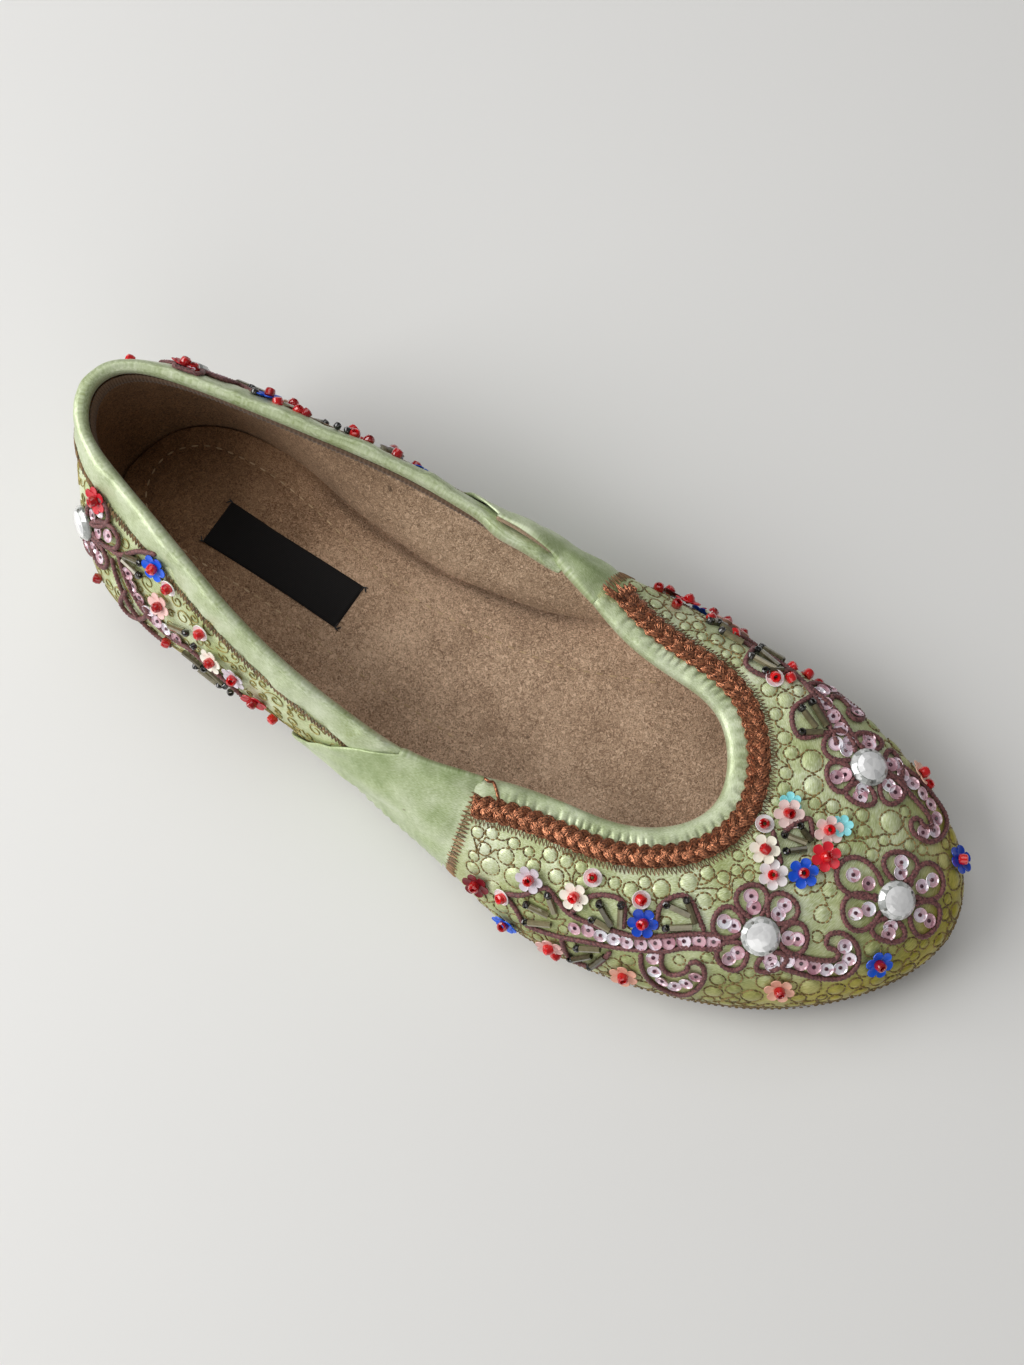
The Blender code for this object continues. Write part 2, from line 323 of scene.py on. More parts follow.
def wall_gauge():
    """A table of rises by distance and by how far below the topline, and each column's whole depth."""
    distance = np.arange(GAUGE_COLUMNS + 1) * ALL_ROUND / GAUGE_COLUMNS
    points = wall_point(distance[:, None], GAUGE_RISES[None, :])
    run = np.linalg.norm(np.diff(points, axis=1), axis=2)
    depth = np.hstack([np.zeros((len(distance), 1)), np.cumsum(run, axis=1)])
    wanted = np.arange(-GAUGE_ABOVE, GAUGE_DEPTH, GAUGE_STEP)
    rises = []
    whole = []
    for column in depth:
        top = np.interp(-1.0, -GAUGE_RISES, column)
        rises.append(np.interp(wanted, column - top, GAUGE_RISES))
        whole.append(np.interp(0.0, -GAUGE_RISES, column) - top)
    return np.array(rises), np.array(whole)


GAUGE, DEPTHS = wall_gauge()


def wall_depth(distance):
    """Length of the wall from the topline to the sole's edge."""
    at = np.mod(distance, ALL_ROUND) / ALL_ROUND * GAUGE_COLUMNS
    return np.interp(at, np.arange(GAUGE_COLUMNS + 1), DEPTHS)


def rise_below(distance, below):
    """The rise that lies this far below the topline."""
    at = np.mod(distance, ALL_ROUND) / ALL_ROUND * GAUGE_COLUMNS
    down = np.clip((below + GAUGE_ABOVE) / GAUGE_STEP, 0, GAUGE.shape[1] - 1.001)
    i = np.floor(at).astype(int)
    j = np.floor(down).astype(int)
    a = at - i
    b = down - j
    near = GAUGE[i, j] * (1 - b) + GAUGE[i, j + 1] * b
    far = GAUGE[i + 1, j] * (1 - b) + GAUGE[i + 1, j + 1] * b
    return near * (1 - a) + far * a


def on_wall(distance, below, proud):
    """A point this far below the topline and proud of the upper's outside; arrays go through together."""
    distance, below, proud = np.broadcast_arrays(distance, below, proud)
    rise = rise_below(distance, below)
    return wall_point(distance, rise) + proud[..., None] * wall_normal(distance, rise)


def out_of_wall(distance, below):
    """The upper's outward normal this far below the topline."""
    return wall_normal(distance, rise_below(distance, below))


RIPPLES = 9


def rippled(points, size, seed):
    """Smooth uneven values between -1 and 1 over these points, about size across."""
    chance = np.random.default_rng(seed)
    total = np.zeros(len(points))
    for _ in range(RIPPLES):
        heading = chance.normal(size=3)
        heading /= np.linalg.norm(heading)
        pitch = size * chance.uniform(0.7, 1.6)
        total += np.sin(points @ heading * TURN / pitch + chance.uniform(0, 6.28))
    return total / 4.0


def add_piece(name, mesh, finish):
    """A finished piece that rides on the shoe."""
    made = add_object(name, mesh)
    mesh.materials.append(finish)
    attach(made, "root")
    return made


def grid_piece(name, columns, rows, lay, finish, gaps=(), sharp=50):
    """A grid laid where lay(u, v) says, without the columns of faces in gaps. Edges that come to lie
    together are joined and open ends are filled."""
    shape = bmesh.new()
    bmesh.ops.create_grid(shape, x_segments=columns, y_segments=rows, size=0.5)
    between = set(int(gap) for gap in gaps)
    if between:
        spare = [
            face for face in shape.faces
            if round((face.calc_center_median().x + 0.5) * columns - 0.5) in between
        ]
        bmesh.ops.delete(shape, geom=spare, context="FACES")
    mesh = bpy.data.meshes.new(name)
    shape.to_mesh(mesh)
    flat = np.empty(len(mesh.vertices) * 3, np.float32)
    mesh.vertices.foreach_get("co", flat)
    flat = flat.reshape(-1, 3).astype(float) + 0.5
    points, spread = lay(np.round(flat[:, 0] * columns) / columns, np.round(flat[:, 1] * rows) / rows)
    mesh.vertices.foreach_set("co", points.astype(np.float32).ravel())
    corner = np.empty(len(mesh.loops), np.int32)
    mesh.loops.foreach_get("vertex_index", corner)
    mesh.uv_layers.new(name="cloth").data.foreach_set("uv", spread[corner].astype(np.float32).ravel())
    shape.clear()
    shape.from_mesh(mesh)
    bmesh.ops.remove_doubles(shape, verts=shape.verts, dist=1e-6)
    open_edges = [edge for edge in shape.edges if edge.is_boundary]
    bmesh.ops.holes_fill(shape, edges=open_edges, sides=0)
    bmesh.ops.recalc_face_normals(shape, faces=shape.faces)
    shape.to_mesh(mesh)
    shape.free()
    mesh.shade_smooth()
    mesh.set_sharp_from_angle(angle=math.radians(sharp))
    return add_piece(name, mesh, finish)


def new_group(name, inputs, outputs):
    """An empty shader node group with these (socket, kind) ends, and its two end nodes."""
    group = bpy.data.node_groups.new(name, "ShaderNodeTree")
    for socket, kind in inputs:
        group.interface.new_socket(socket, in_out="INPUT", socket_type="NodeSocket" + kind)
    for socket, kind in outputs:
        group.interface.new_socket(socket, in_out="OUTPUT", socket_type="NodeSocket" + kind)
    return group, group.nodes.new("NodeGroupInput"), group.nodes.new("NodeGroupOutput")


def nap_group():
    """Suede: slow clouds, a crinkled nap brushed up in short curls, and small worn spots."""
    group, given, result = new_group(
        "suede_nap", (("Place", "Vector"),), (("Tone", "Float"), ("Height", "Float"), ("Spots", "Float"))
    )
    cloud = add_node(group, "TexNoise", {"Scale": 55.0, "Detail": 4.0, "Roughness": 0.6})
    nap = add_node(
        group, "TexNoise", {"Scale": 1250.0, "Detail": 2.0, "Roughness": 0.6, "Distortion": 1.8}
    )
    both = add_node(group, "Mix", {"Factor": 0.70})
    spot = add_node(group, "TexNoise", {"Scale": 420.0, "Detail": 1.0})
    rare = add_node(group, "MapRange", {"From Min": 0.775, "From Max": 0.80, "To Max": 0.6})
    for texture in (cloud, nap, spot):
        wire(group, (given, "Place", texture, "Vector"))
    wire(
        group, (cloud, "Fac", both, "A"), (nap, "Fac", both, "B"), (spot, "Fac", rare, "Value"),
        (both, "Result", result, "Tone"), (nap, "Fac", result, "Height"), (rare, "Result", result, "Spots"),
    )
    return group


SUEDE_NAP = nap_group()


def dress(tree, shader, colour, height, strength, deep):
    """This colour and this relief of deep metres, each a (node, output), put on the shader."""
    bump = add_node(tree, "Bump", {"Strength": strength, "Distance": deep})
    wire(
        tree, (*colour, shader, "Base Color"), (*height, bump, "Height"),
        (bump, "Normal", shader, "Normal"),
    )


def suede_finish(name, tones, heel_shade_and_wear):
    """Napped suede, darker towards the heel as painted shade and wear, with a few small dark spots."""
    made, tree, shader = new_finish(name, {
        "Roughness": 0.95, "Specular IOR Level": 0.15, "Sheen Weight": 0.15, "Sheen Roughness": 0.6,
        "Sheen Tint": (0.95, 0.80, 0.68, 1.0),
    })
    place = add_node(tree, "TexCoord")
    group = add_node(tree, "Group", node_tree=SUEDE_NAP)
    tone = add_ramp(tree, tuple(zip((0.375, 0.5, 0.615), tones)))
    split = add_node(tree, "SeparateXYZ")
    # Painted shade and wear: the suede darkens towards the heel, where the walls shade the inside and the heel
    # has worn it.
    heel_shade_and_wear_share = add_node(
        tree, "MapRange", {"From Min": 0.085, "From Max": -0.03}, interpolation_type="SMOOTHSTEP"
    )
    shade = add_node(tree, "Mix", {"B": (*heel_shade_and_wear, 1.0)}, data_type="RGBA", blend_type="MULTIPLY")
    marked = add_node(tree, "Mix", {"B": (0.07, 0.042, 0.026, 1.0)}, data_type="RGBA")
    wire(
        tree, (place, "Object", group, "Place"), (group, "Tone", tone, "Fac"),
        (place, "Object", split, "Vector"), (split, "X", heel_shade_and_wear_share, "Value"),
        (heel_shade_and_wear_share, "Result", shade, "Factor"), (tone, "Color", shade, "A"), (shade, "Result", marked, "A"),
        (group, "Spots", marked, "Factor"),
    )
    dress(tree, shader, (marked, "Result"), (group, "Height"), 0.8, 0.0006)
    return made


def along_table(x, table):
    """A smooth value at x from (x, value) pairs in millimetres."""
    places, values = np.array(table, float).T * MM
    return sum(np.interp(x + step * MM, places, values) for step in (-6, -3, 0, 3, 6)) / 5


def creases(points, table):
    """Lift of soft ridges, and troughs where it is negative, along given lines. A line is its points, then its
    half width and its height, in millimetres."""
    lift = np.zeros(len(points))
    for *line, wide, high in table:
        line = np.array(line, float) * MM
        away = np.full(len(points), np.inf)
        share = np.zeros(len(points))
        for i, (first, last) in enumerate(zip(line[:-1], line[1:])):
            run = last - first
            here = np.clip((points - first) @ run / (run @ run), 0, 1)
            gap = np.linalg.norm(points - first - here[:, None] * run, axis=1)
            share = np.where(gap < away, (i + here) / (len(line) - 1), share)
            away = np.minimum(gap, away)
        lift += high * MM * np.exp(-((away / (wide * MM)) ** 2)) * np.sqrt(4 * share * (1 - share))
    return lift


LINING_THICK = 0.8 * MM
LINING_TOP = 0.8 * MM       # how far below the topline it starts, under the binding
ARCH_IN = (
    # along the shoe, and how far the lining's foot comes in over the insole at the inner arch; millimetres
    (-12, 0.0), (0, 0.4), (15, 2.1), (25, 4.6), (33, 7.0), (42, 8.5), (51, 9.7), (60, 10.2), (74, 8.6),
    (88, 8.9), (106, 6.5), (130, 2.0), (150, 0.0),
)
ARCH_OUTER_SHARE = 0.30     # and what share of it on the outer side
LINING_CREASES = (
    ((18, 22, 30), (40, 24, 27), (62, 25, 25), 3.0, 0.5),
    ((30, 26, 38), (52, 27, 33), (74, 28, 31), 2.6, -0.5),
    ((-24, 8, 34), (-20, 14, 20), (-14, 18, 10), 3.0, -0.5),
    ((20, -25, 30), (44, -26, 25), 3.0, -0.4),
)
LINING_FACE_SHARE = 0.75    # of its rows run down the face, the rest up the hidden side
LINING_FOOT = 0.2 * MM      # left bare above the sole's edge
LINING_WAVE = 0.35 * MM
LINING_WAVE_WIDE = 26 * MM
ARCH_SLOPE_FROM = 0.18      # of the way down the wall, where the arch starts to slope in
ARCH_SLOPE_OVER = 0.62
ARCH_TUCK = 0.36            # share of the slope that the foot goes back, under the insole's edge
ARCH_TUCK_FROM = 0.865
# The last colour is the painted shade and wear towards the heel.
lining_suede = suede_finish(
    "lining_suede", ((0.27, 0.175, 0.108), (0.55, 0.385, 0.255), (0.84, 0.62, 0.44)), (0.50, 0.37, 0.24)
)


def back_to_start(v):
    """The last row laid on the first, so that a sheet closes on itself."""
    return np.where(v > 0.9999, 0.0, v)


def lay_lining(u, v):
    """v runs down the inner face and back up the hidden outer one."""
    v = back_to_start(v)
    distance = u * ALL_ROUND
    down = np.where(v < LINING_FACE_SHARE, v / LINING_FACE_SHARE, (1.0 - v) / (1.0 - LINING_FACE_SHARE))
    inner = ease((0.78 - v) / 0.06)
    depth = wall_depth(distance)
    below = LINING_TOP + down * (depth - LINING_TOP - LINING_FOOT)
    proud = -UPPER_WALL + (1 - inner) * LINING_THICK
    points = on_wall(distance, below, proud)
    foot_in = along_table(points[:, 0], ARCH_IN) * np.where(points[:, 1] > 0, 1.0, ARCH_OUTER_SHARE)
    tuck = 1.0 - ARCH_TUCK * ease((down - ARCH_TUCK_FROM) / 0.05)
    slope_in = foot_in * ease((down - ARCH_SLOPE_FROM) / ARCH_SLOPE_OVER) * tuck
    points[:, 1] -= np.sign(points[:, 1]) * slope_in
    fold = rippled(points, LINING_WAVE_WIDE, 5) * LINING_WAVE
    fold *= ease(down * 2) * ease((1 - down) * 3)
    fold += creases(points, LINING_CREASES) * inner
    points -= out_of_wall(distance, below) * fold[:, None]
    return points, np.stack([distance, below], axis=1)


lining = grid_piece("lining", 360, 64, lay_lining, lining_suede)
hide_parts("upper")


# ------------------------ Insole
# A foam pad covered in the same taupe suede and glued to the sole. It is crowned
# across the foot, and a seat pad under it shows as a line of sunk stitches round
# the heel and up the inner side.
INSOLE_LOW = SOLE_THICK + GAP
INSOLE_HIGH = 0.0034
INSOLE_CROWN = 0.8 * MM
INSOLE_INSET = 2.4 * MM
INSOLE_CREASES = (
    # hollows pressed by the toes and the ball, and soft ridges between them
    ((126, -24, 7), (131, -4, 7), (126, 16, 7), 4.5, 0.45),
    ((104, -26, 7), (108, -6, 7), (106, 14, 7), 6.0, -0.4),
    ((60, -12, 8), (84, -8, 7), (104, -2, 7), 9.0, -0.35),
    ((10, -14, 12), (-8, -2, 12), (10, 12, 12), 5.0, -0.5),
)
ARCH_CREASE = (
    # the deep fold where the lining meets the pad along the inner arch
    ((12, 26, 0), (20, 24.2, 0), (27, 22.4, 0), (34, 21, 0), (42, 20.5, 0), (51, 20, 0), (60, 20, 0),
     (74, 23, 0), (88, 25.1, 0), (106, 31.3, 0), 2.2, -2.3),
)
SEAT_LINE = (
    # along and across the shoe, in mm: the seat pad's stitches from the outer waist round
    # the heel and up the inner side to the ball of the foot
    (86, -15.5), (72, -15), (52, -14.5), (38, -13), (24, -12), (8, -12), (-6, -11), (-14, -8.5), (-18.5, -4),
    (-20.5, 2), (-20, 8), (-16, 13), (-9, 16.5), (7, 17.5), (25, 15), (41, 11.5), (57, 9.5), (73, 10.5),
    (86, 12), (99, 14.5), (110, 18.5), (122, 23.5),
)
SEAT_CREASE = (
    # the shallow trough that the stitches pull in the pad
    (*[(x, y, 0) for x, y in SEAT_LINE], 1.4, -0.50),
)
INSOLE_TOP_SHARE = 0.8      # of its rows lie on the top, the rest underneath
INSOLE_UNDER = 0.4 * MM
INSOLE_DENT = 0.25 * MM
INSOLE_DENT_WIDE = 34 * MM
# The last colour is the painted shade and wear towards the heel.
insole_suede = suede_finish(
    "insole_suede", ((0.29, 0.185, 0.118), (0.60, 0.41, 0.275), (0.90, 0.66, 0.47)), (0.50, 0.37, 0.24)
)


def side_of_sole(inset):
    """The sole outline moved in by inset: (x, y) lists for the lateral and medial sides, heel to toe."""
    distance = np.arange(721) * ALL_ROUND / 720
    ring = closed_curve(distance)[:, 0:3] - inset * plan_normal(distance, 0)
    heel = int(np.argmin(ring[:-1, 0]))
    ring = np.roll(ring[:-1], -heel, axis=0)
    toe = int(np.argmax(ring[:, 0]))
    return ring[: toe + 1, 0:2], np.vstack([ring[toe:], ring[:1]])[::-1, 0:2]


def across_sole(x, inset):
    lateral, medial = side_of_sole(inset)
    return np.interp(x, lateral[:, 0], lateral[:, 1]), np.interp(x, medial[:, 0], medial[:, 1])


lateral_edge, _ = side_of_sole(INSOLE_INSET)
INSOLE_BACK = lateral_edge[0, 0]
INSOLE_FRONT = lateral_edge[-1, 0]


def insole_top(x, y):
    """Height of the insole's crowned top."""
    near, far = across_sole(x, INSOLE_INSET)
    share = np.clip((y - near) / np.maximum(far - near, 1e-6), 0, 1)
    crown = INSOLE_CROWN * (4 * share * (1 - share)) ** 0.6
    return sole_underside(x) + INSOLE_LOW + INSOLE_HIGH + crown


def insole_face(x, y):
    """Height of that top with the dents, folds and troughs worn and sewn into it."""
    high = insole_top(x, y)
    flat = np.stack([x, y, 0 * x], axis=1)
    dent = rippled(flat, INSOLE_DENT_WIDE, 3) * INSOLE_DENT
    dent += creases(np.stack([x, y, high], axis=1), INSOLE_CREASES)
    return high + dent + creases(flat, ARCH_CREASE + SEAT_CREASE)


def lay_insole(u, v):
    x = INSOLE_BACK + (INSOLE_FRONT - INSOLE_BACK) * (1 - np.cos(math.pi * u)) / 2
    near, far = across_sole(x, INSOLE_INSET)
    top = v < INSOLE_TOP_SHARE
    share = np.where(top, v / INSOLE_TOP_SHARE, (1 - v) / (1 - INSOLE_TOP_SHARE))
    y = near + (far - near) * (1 - np.cos(math.pi * share)) / 2
    low = sole_underside(x) + INSOLE_LOW + INSOLE_UNDER
    z = np.where(top, insole_face(x, y), low)
    return np.stack([x, y, z], axis=1), np.stack([x, y], axis=1)


insole = grid_piece("insole_pad", 280, 110, lay_insole, insole_suede)
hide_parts("insole")


def spindle(sides, rings):
    """A rod one unit long and one wide along X, drawn to a point at both ends."""
    shape = bmesh.new()
    bmesh.ops.create_uvsphere(shape, u_segments=sides, v_segments=rings, radius=0.5)
    bmesh.ops.rotate(shape, verts=shape.verts, matrix=Matrix.Rotation(math.pi / 2, 3, "Y"))
    return mesh_from(shape, "spindle")


def seat(place, out, heading, size):
    """Seats for small pieces: X along the heading, Z out of the cloth, each axis scaled by size."""
    out = unit(out)
    across = unit(np.cross(out, heading))
    along = np.cross(across, out)
    seats = np.zeros((len(place), 4, 4))
    size = np.broadcast_to(np.asarray(size, float), (len(place), 3))
    seats[:, :3, 0] = along * size[:, 0:1]
    seats[:, :3, 1] = across * size[:, 1:2]
    seats[:, :3, 2] = out * size[:, 2:3]
    seats[:, :3, 3] = place
    seats[:, 3, 3] = 1.0
    return seats


def scatter(name, template, seats, finish, sharp=50):
    """Copies of one small mesh joined into one, one at each seat, each with a shade of its own."""
    shape = bmesh.new()
    for place in seats:
        copy = template.copy()
        copy.transform(Matrix(place.tolist()))
        shape.from_mesh(copy)
        bpy.data.meshes.remove(copy)
    mesh = mesh_from(shape, name)
    own = np.repeat(np.random.default_rng(len(seats)).random(len(seats)), len(template.vertices))
    mesh.attributes.new("shade", "FLOAT", "POINT").data.foreach_set("value", own.astype(np.float32))
    mesh.shade_smooth()
    mesh.set_sharp_from_angle(angle=math.radians(sharp))
    return add_piece(name, mesh, finish)


def fleck_group():
    """Fine flecks over a place in metres, blended with a slower tone of the piece's own."""
    group, given, result = new_group(
        "fleck", (("Place", "Vector"), ("Own", "Float"), ("Fineness", "Float"), ("Share", "Float")),
        (("Tone", "Float"), ("Height", "Float")),
    )
    fleck = add_node(group, "TexNoise", {"Detail": 2.0})
    both = add_node(group, "Mix")
    wire(
        group, (given, "Place", fleck, "Vector"), (given, "Fineness", fleck, "Scale"),
        (given, "Share", both, "Factor"), (given, "Own", both, "A"), (fleck, "Fac", both, "B"),
        (both, "Result", result, "Tone"), (fleck, "Fac", result, "Height"),
    )
    return group


FLECK = fleck_group()


def add_fleck(tree, own, fineness, share):
    """The fleck group on this material's own places, over the tone from own, a (node, output)."""
    place = add_node(tree, "TexCoord")
    group = add_node(tree, "Group", {"Fineness": fineness, "Share": share}, node_tree=FLECK)
    wire(tree, (place, "Object", group, "Place"), (*own, group, "Own"))
    return group


def thread_finish(name, dark, light, roughness=0.5, metallic=0.0, sheen=0.2):
    """Twisted thread whose tone runs from dark to light with each stitch's own shade."""
    made, tree, shader = new_finish(name, {
        "Roughness": roughness, "Metallic": metallic, "Sheen Weight": sheen,
    })
    own = add_node(tree, "Attribute", attribute_name="shade")
    fleck = add_fleck(tree, (own, "Fac"), 2600.0, 0.5)
    tone = add_ramp(tree, ((0.25, dark), (0.75, light)))
    wire(tree, (fleck, "Tone", tone, "Fac"))
    dress(tree, shader, (tone, "Color"), (fleck, "Height"), 0.5, 0.0001)
    return made


def run_along(points):
    """How far along these points each one lies, from 0 at the first."""
    return np.concatenate([[0.0], np.cumsum(np.linalg.norm(np.diff(points, axis=0), axis=1))])


def evenly(line, count):
    """count points evenly spread along this line."""
    run = run_along(line)
    wanted = np.linspace(0.0, run[-1], count)
    return np.stack([np.interp(wanted, run, column) for column in line.T], axis=1)


def bend(before, start, end, after, t):
    """The place at a share t from start to end on a smooth curve through all four."""
    return 0.5 * (
        2 * start + (end - before) * t
        + (2 * before - 5 * start + 4 * end - after) * t**2
        + (3 * start - before - 3 * end + after) * t**3
    )


def walk(points, step):
    """Points evenly spaced by about step along a smooth open curve through these."""
    points = np.array(points, float)
    padded = np.vstack([2 * points[0] - points[1], points, 2 * points[-1] - points[-2]])
    shares = np.linspace(0, 1, 24, endpoint=False)[:, None]
    fine = [bend(*padded[i : i + 4], shares) for i in range(len(padded) - 3)]
    fine = np.vstack(fine + [points[-1:]])
    return evenly(fine, max(3, int(round(run_along(fine)[-1] / step)) + 1))


# The seat pad's stitches lie in their trough.
SEAT_STITCH = 3.4 * MM
SEAT_THREAD = (1.9 * MM, 0.48 * MM, 0.42 * MM)
SEAT_THREAD_HIGH = 0.04 * MM
seat_line = walk(np.array(SEAT_LINE, float) * MM, SEAT_STITCH)
seat_line = np.column_stack([seat_line, insole_face(*seat_line.T) + SEAT_THREAD_HIGH])
middles = (seat_line[1:] + seat_line[:-1]) / 2
headings = seat_line[1:] - seat_line[:-1]
taupe_thread = thread_finish("taupe_thread", (0.48, 0.33, 0.18), (0.72, 0.53, 0.32), 0.8)
scatter(
    "seat_pad_stitches", spindle(6, 6), seat(middles, UP, headings, SEAT_THREAD), taupe_thread,
)


# ------------------------ Sock label
# A small black woven ribbon, ends turned under, tacked across the heel seat at
# its corners. It is left bare.
LABEL_AT = (0.0240, -0.0012)
LABEL_SIZE = (0.0426, 0.0130)
LABEL_TURN = math.radians(-1.5)
LABEL_THICK = 0.45 * MM
LABEL_RIB = 0.42 * MM
LABEL_FOLD_HIGH = 0.25 * MM     # how much thicker it is where the ends are turned under
LABEL_FOLD = 1.2 * MM
LABEL_UNDER = 0.06 * MM
LABEL_END_HIGH = 0.12 * MM
LABEL_WAVE = 0.10 * MM
LABEL_WAVE_WIDE = 11 * MM
LABEL_BOW = 0.25 * MM           # how far its long sides draw in at the middle


def label_place(a, b, lift):
    """A point of the label, a along it and b across it from its middle, lifted off the insole."""
    x = LABEL_AT[0] + a * math.cos(LABEL_TURN) - b * math.sin(LABEL_TURN)
    y = LABEL_AT[1] + a * math.sin(LABEL_TURN) + b * math.cos(LABEL_TURN)
    return np.stack([x, y, insole_top(x, y) + lift], axis=1)


def lay_label(u, v):
    top = v < 0.5
    share = np.where(top, v * 2, (1 - v) * 2)
    end = np.abs(u - 0.5) * 2
    side = np.abs(share - 0.5) * 2
    swell = LABEL_FOLD_HIGH * np.exp(-((1 - end) * LABEL_SIZE[0] / 2 / LABEL_FOLD) ** 2)
    swell += rippled(np.stack([u * 0.04, share * 0.012, 0 * u], axis=1), LABEL_WAVE_WIDE, 8) * LABEL_WAVE
    droop = LABEL_THICK * 0.6 * ease((side - 0.9) / 0.1)
    edge = ease((end - 0.985) / 0.015)
    lift = np.where(top, LABEL_THICK + swell - droop, LABEL_UNDER)
    lift = lift * (1 - edge) + LABEL_END_HIGH * edge
    bow = LABEL_BOW * np.sin(u * math.pi) * np.sign(share - 0.5) * side
    a = (u - 0.5) * LABEL_SIZE[0]
    b = (share - 0.5) * LABEL_SIZE[1] - bow
    return label_place(a, b, lift), np.stack([a, b], axis=1)


def label_finish():
    """Close black taffeta ribs with a faint worn bloom."""
    made, tree, shader = new_finish("label_cloth", {
        "Roughness": 0.75, "Specular IOR Level": 0.2, "Sheen Weight": 0.03,
    })
    cloth = add_node(tree, "UVMap", uv_map="cloth")
    ribs = add_node(
        tree, "TexWave",
        {"Scale": 0.314 / LABEL_RIB, "Distortion": 0.6, "Detail": 1.0}, bands_direction="Y",
    )
    weft = add_node(
        tree, "TexWave", {"Scale": 0.5 / LABEL_RIB, "Distortion": 1.0}, bands_direction="X"
    )
    both = add_node(tree, "Mix", {"Factor": 0.5})
    tone = add_ramp(tree, ((0.2, (0.004, 0.004, 0.004)), (0.9, (0.020, 0.018, 0.018))))
    wire(
        tree, (cloth, "UV", ribs, "Vector"), (cloth, "UV", weft, "Vector"), (ribs, "Fac", both, "A"),
        (weft, "Fac", both, "B"), (both, "Result", tone, "Fac"),
    )
    dress(tree, shader, (tone, "Color"), (both, "Result"), 0.6, 0.0001)
    return made


grid_piece("sock_label", 90, 40, lay_label, label_finish(), sharp=60)
TACK = (1.7 * MM, 0.4 * MM, 0.4 * MM)
TACK_APART = 0.5 * MM
TACK_HIGH = 0.25 * MM
TACKS = (
    # at each corner: how far out past the end in mm, and the stitch's turn
    (0.2, 0.3), (0.6, -0.8), (-0.2, 1.6),
)
tack_at = []
tack_way = []
for end in (-1, 1):
    for side in (-1, 1):
        for stitch, (out, way) in enumerate(TACKS):
            along = end * (LABEL_SIZE[0] / 2 + out * MM)
            tack_at.append((along, side * (LABEL_SIZE[1] / 2 - TACK_APART * stitch)))
            tack_way.append((end * math.cos(way), side * math.sin(way), 0.25))
tack_at = np.array(tack_at)
black_thread = thread_finish("black_thread", (0.006, 0.006, 0.006), (0.03, 0.028, 0.028), 0.7)
tack_seats = seat(label_place(*tack_at.T, TACK_HIGH), UP, np.array(tack_way), TACK)
scatter("label_tacks", spindle(6, 5), tack_seats, black_thread)


# ------------------------ Sole and heel
# A thin brown rubber sole cut flush under the upper, and a low stacked heel
# block. Both keep their solid shape, with a moulded fine grain and scuffed wear.
def rubber_group():
    """Moulded rubber: slow clouds, a fine pebble over faint ribs, and scuffed patches."""
    group, given, result = new_group(
        "rubber_grain", (("Place", "Vector"),), (("Tone", "Float"), ("Worn", "Float"), ("Height", "Float"))
    )
    cloud = add_node(group, "TexNoise", {"Scale": 60.0, "Detail": 5.0, "Roughness": 0.6})
    grain = add_node(group, "TexVoronoi", {"Scale": 850.0}, feature="F1")
    ribs = add_node(group, "TexWave", {"Scale": 95.0, "Distortion": 1.5, "Detail": 1.0})
    scuff = add_node(group, "TexNoise", {"Scale": 240.0, "Detail": 6.0, "Roughness": 0.75})
    worn = add_node(group, "MapRange", {"From Min": 0.56, "From Max": 0.7, "To Max": 0.5})
    relief = add_node(group, "Mix", {"Factor": 0.35})
    for texture in (cloud, grain, ribs, scuff):
        wire(group, (given, "Place", texture, "Vector"))
    wire(
        group, (scuff, "Fac", worn, "Value"), (grain, "Distance", relief, "A"), (ribs, "Fac", relief, "B"),
        (cloud, "Fac", result, "Tone"), (worn, "Result", result, "Worn"),
        (relief, "Result", result, "Height"),
    )
    return group


RUBBER_GRAIN = rubber_group()


def rubber_finish(name, dark, light):
    made, tree, shader = new_finish(name, {"Roughness": 0.72, "Specular IOR Level": 0.35})
    place = add_node(tree, "TexCoord")
    group = add_node(tree, "Group", node_tree=RUBBER_GRAIN)
    tone = add_ramp(tree, ((0.3, dark), (0.7, light)))
    scuffed = add_node(tree, "Mix", {"B": (0.30, 0.25, 0.20, 1.0)}, data_type="RGBA")
    wire(
        tree, (place, "Object", group, "Place"), (group, "Tone", tone, "Fac"),
        (group, "Worn", scuffed, "Factor"), (tone, "Color", scuffed, "A"),
    )
    dress(tree, shader, (scuffed, "Result"), (group, "Height"), 0.55, 0.0002)
    return made


for name, dark, light in (
    ("outsole", (0.085, 0.052, 0.032), (0.15, 0.095, 0.060)),
    ("heel", (0.060, 0.036, 0.023), (0.11, 0.070, 0.045)),
):
    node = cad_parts[name]
    node.data.materials.clear()
    node.data.materials.append(rubber_finish(name + "_rubber", dark, light))


# ------------------------ Quarter
# Celery satin on a stiff backing, lasted round the heel from wing to wing. The
# same cloth goes on under the wings and the vamp panel, and is turned under at
# the sole's edge.
SATIN_PALE = (0.88, 0.945, 0.71)
SATIN_MID = (0.57, 0.64, 0.325)
SATIN_DEEP = (0.32, 0.375, 0.115)
SATIN_FLANK_SHADE_AND_DIRT = (0.78, 0.76, 0.62)    # painted shade and dirt: multiplies the cloth low on the wall
SATIN_FOOT_SHADE = (0.69, 0.51, 0.010)    # painted shade: multiplies the cloth low round the toe, darker and yellower
FOOT_TUCK = 1.6 * MM
FOOT_TURN = 0.985           # of the way down the face, where the cloth turns under


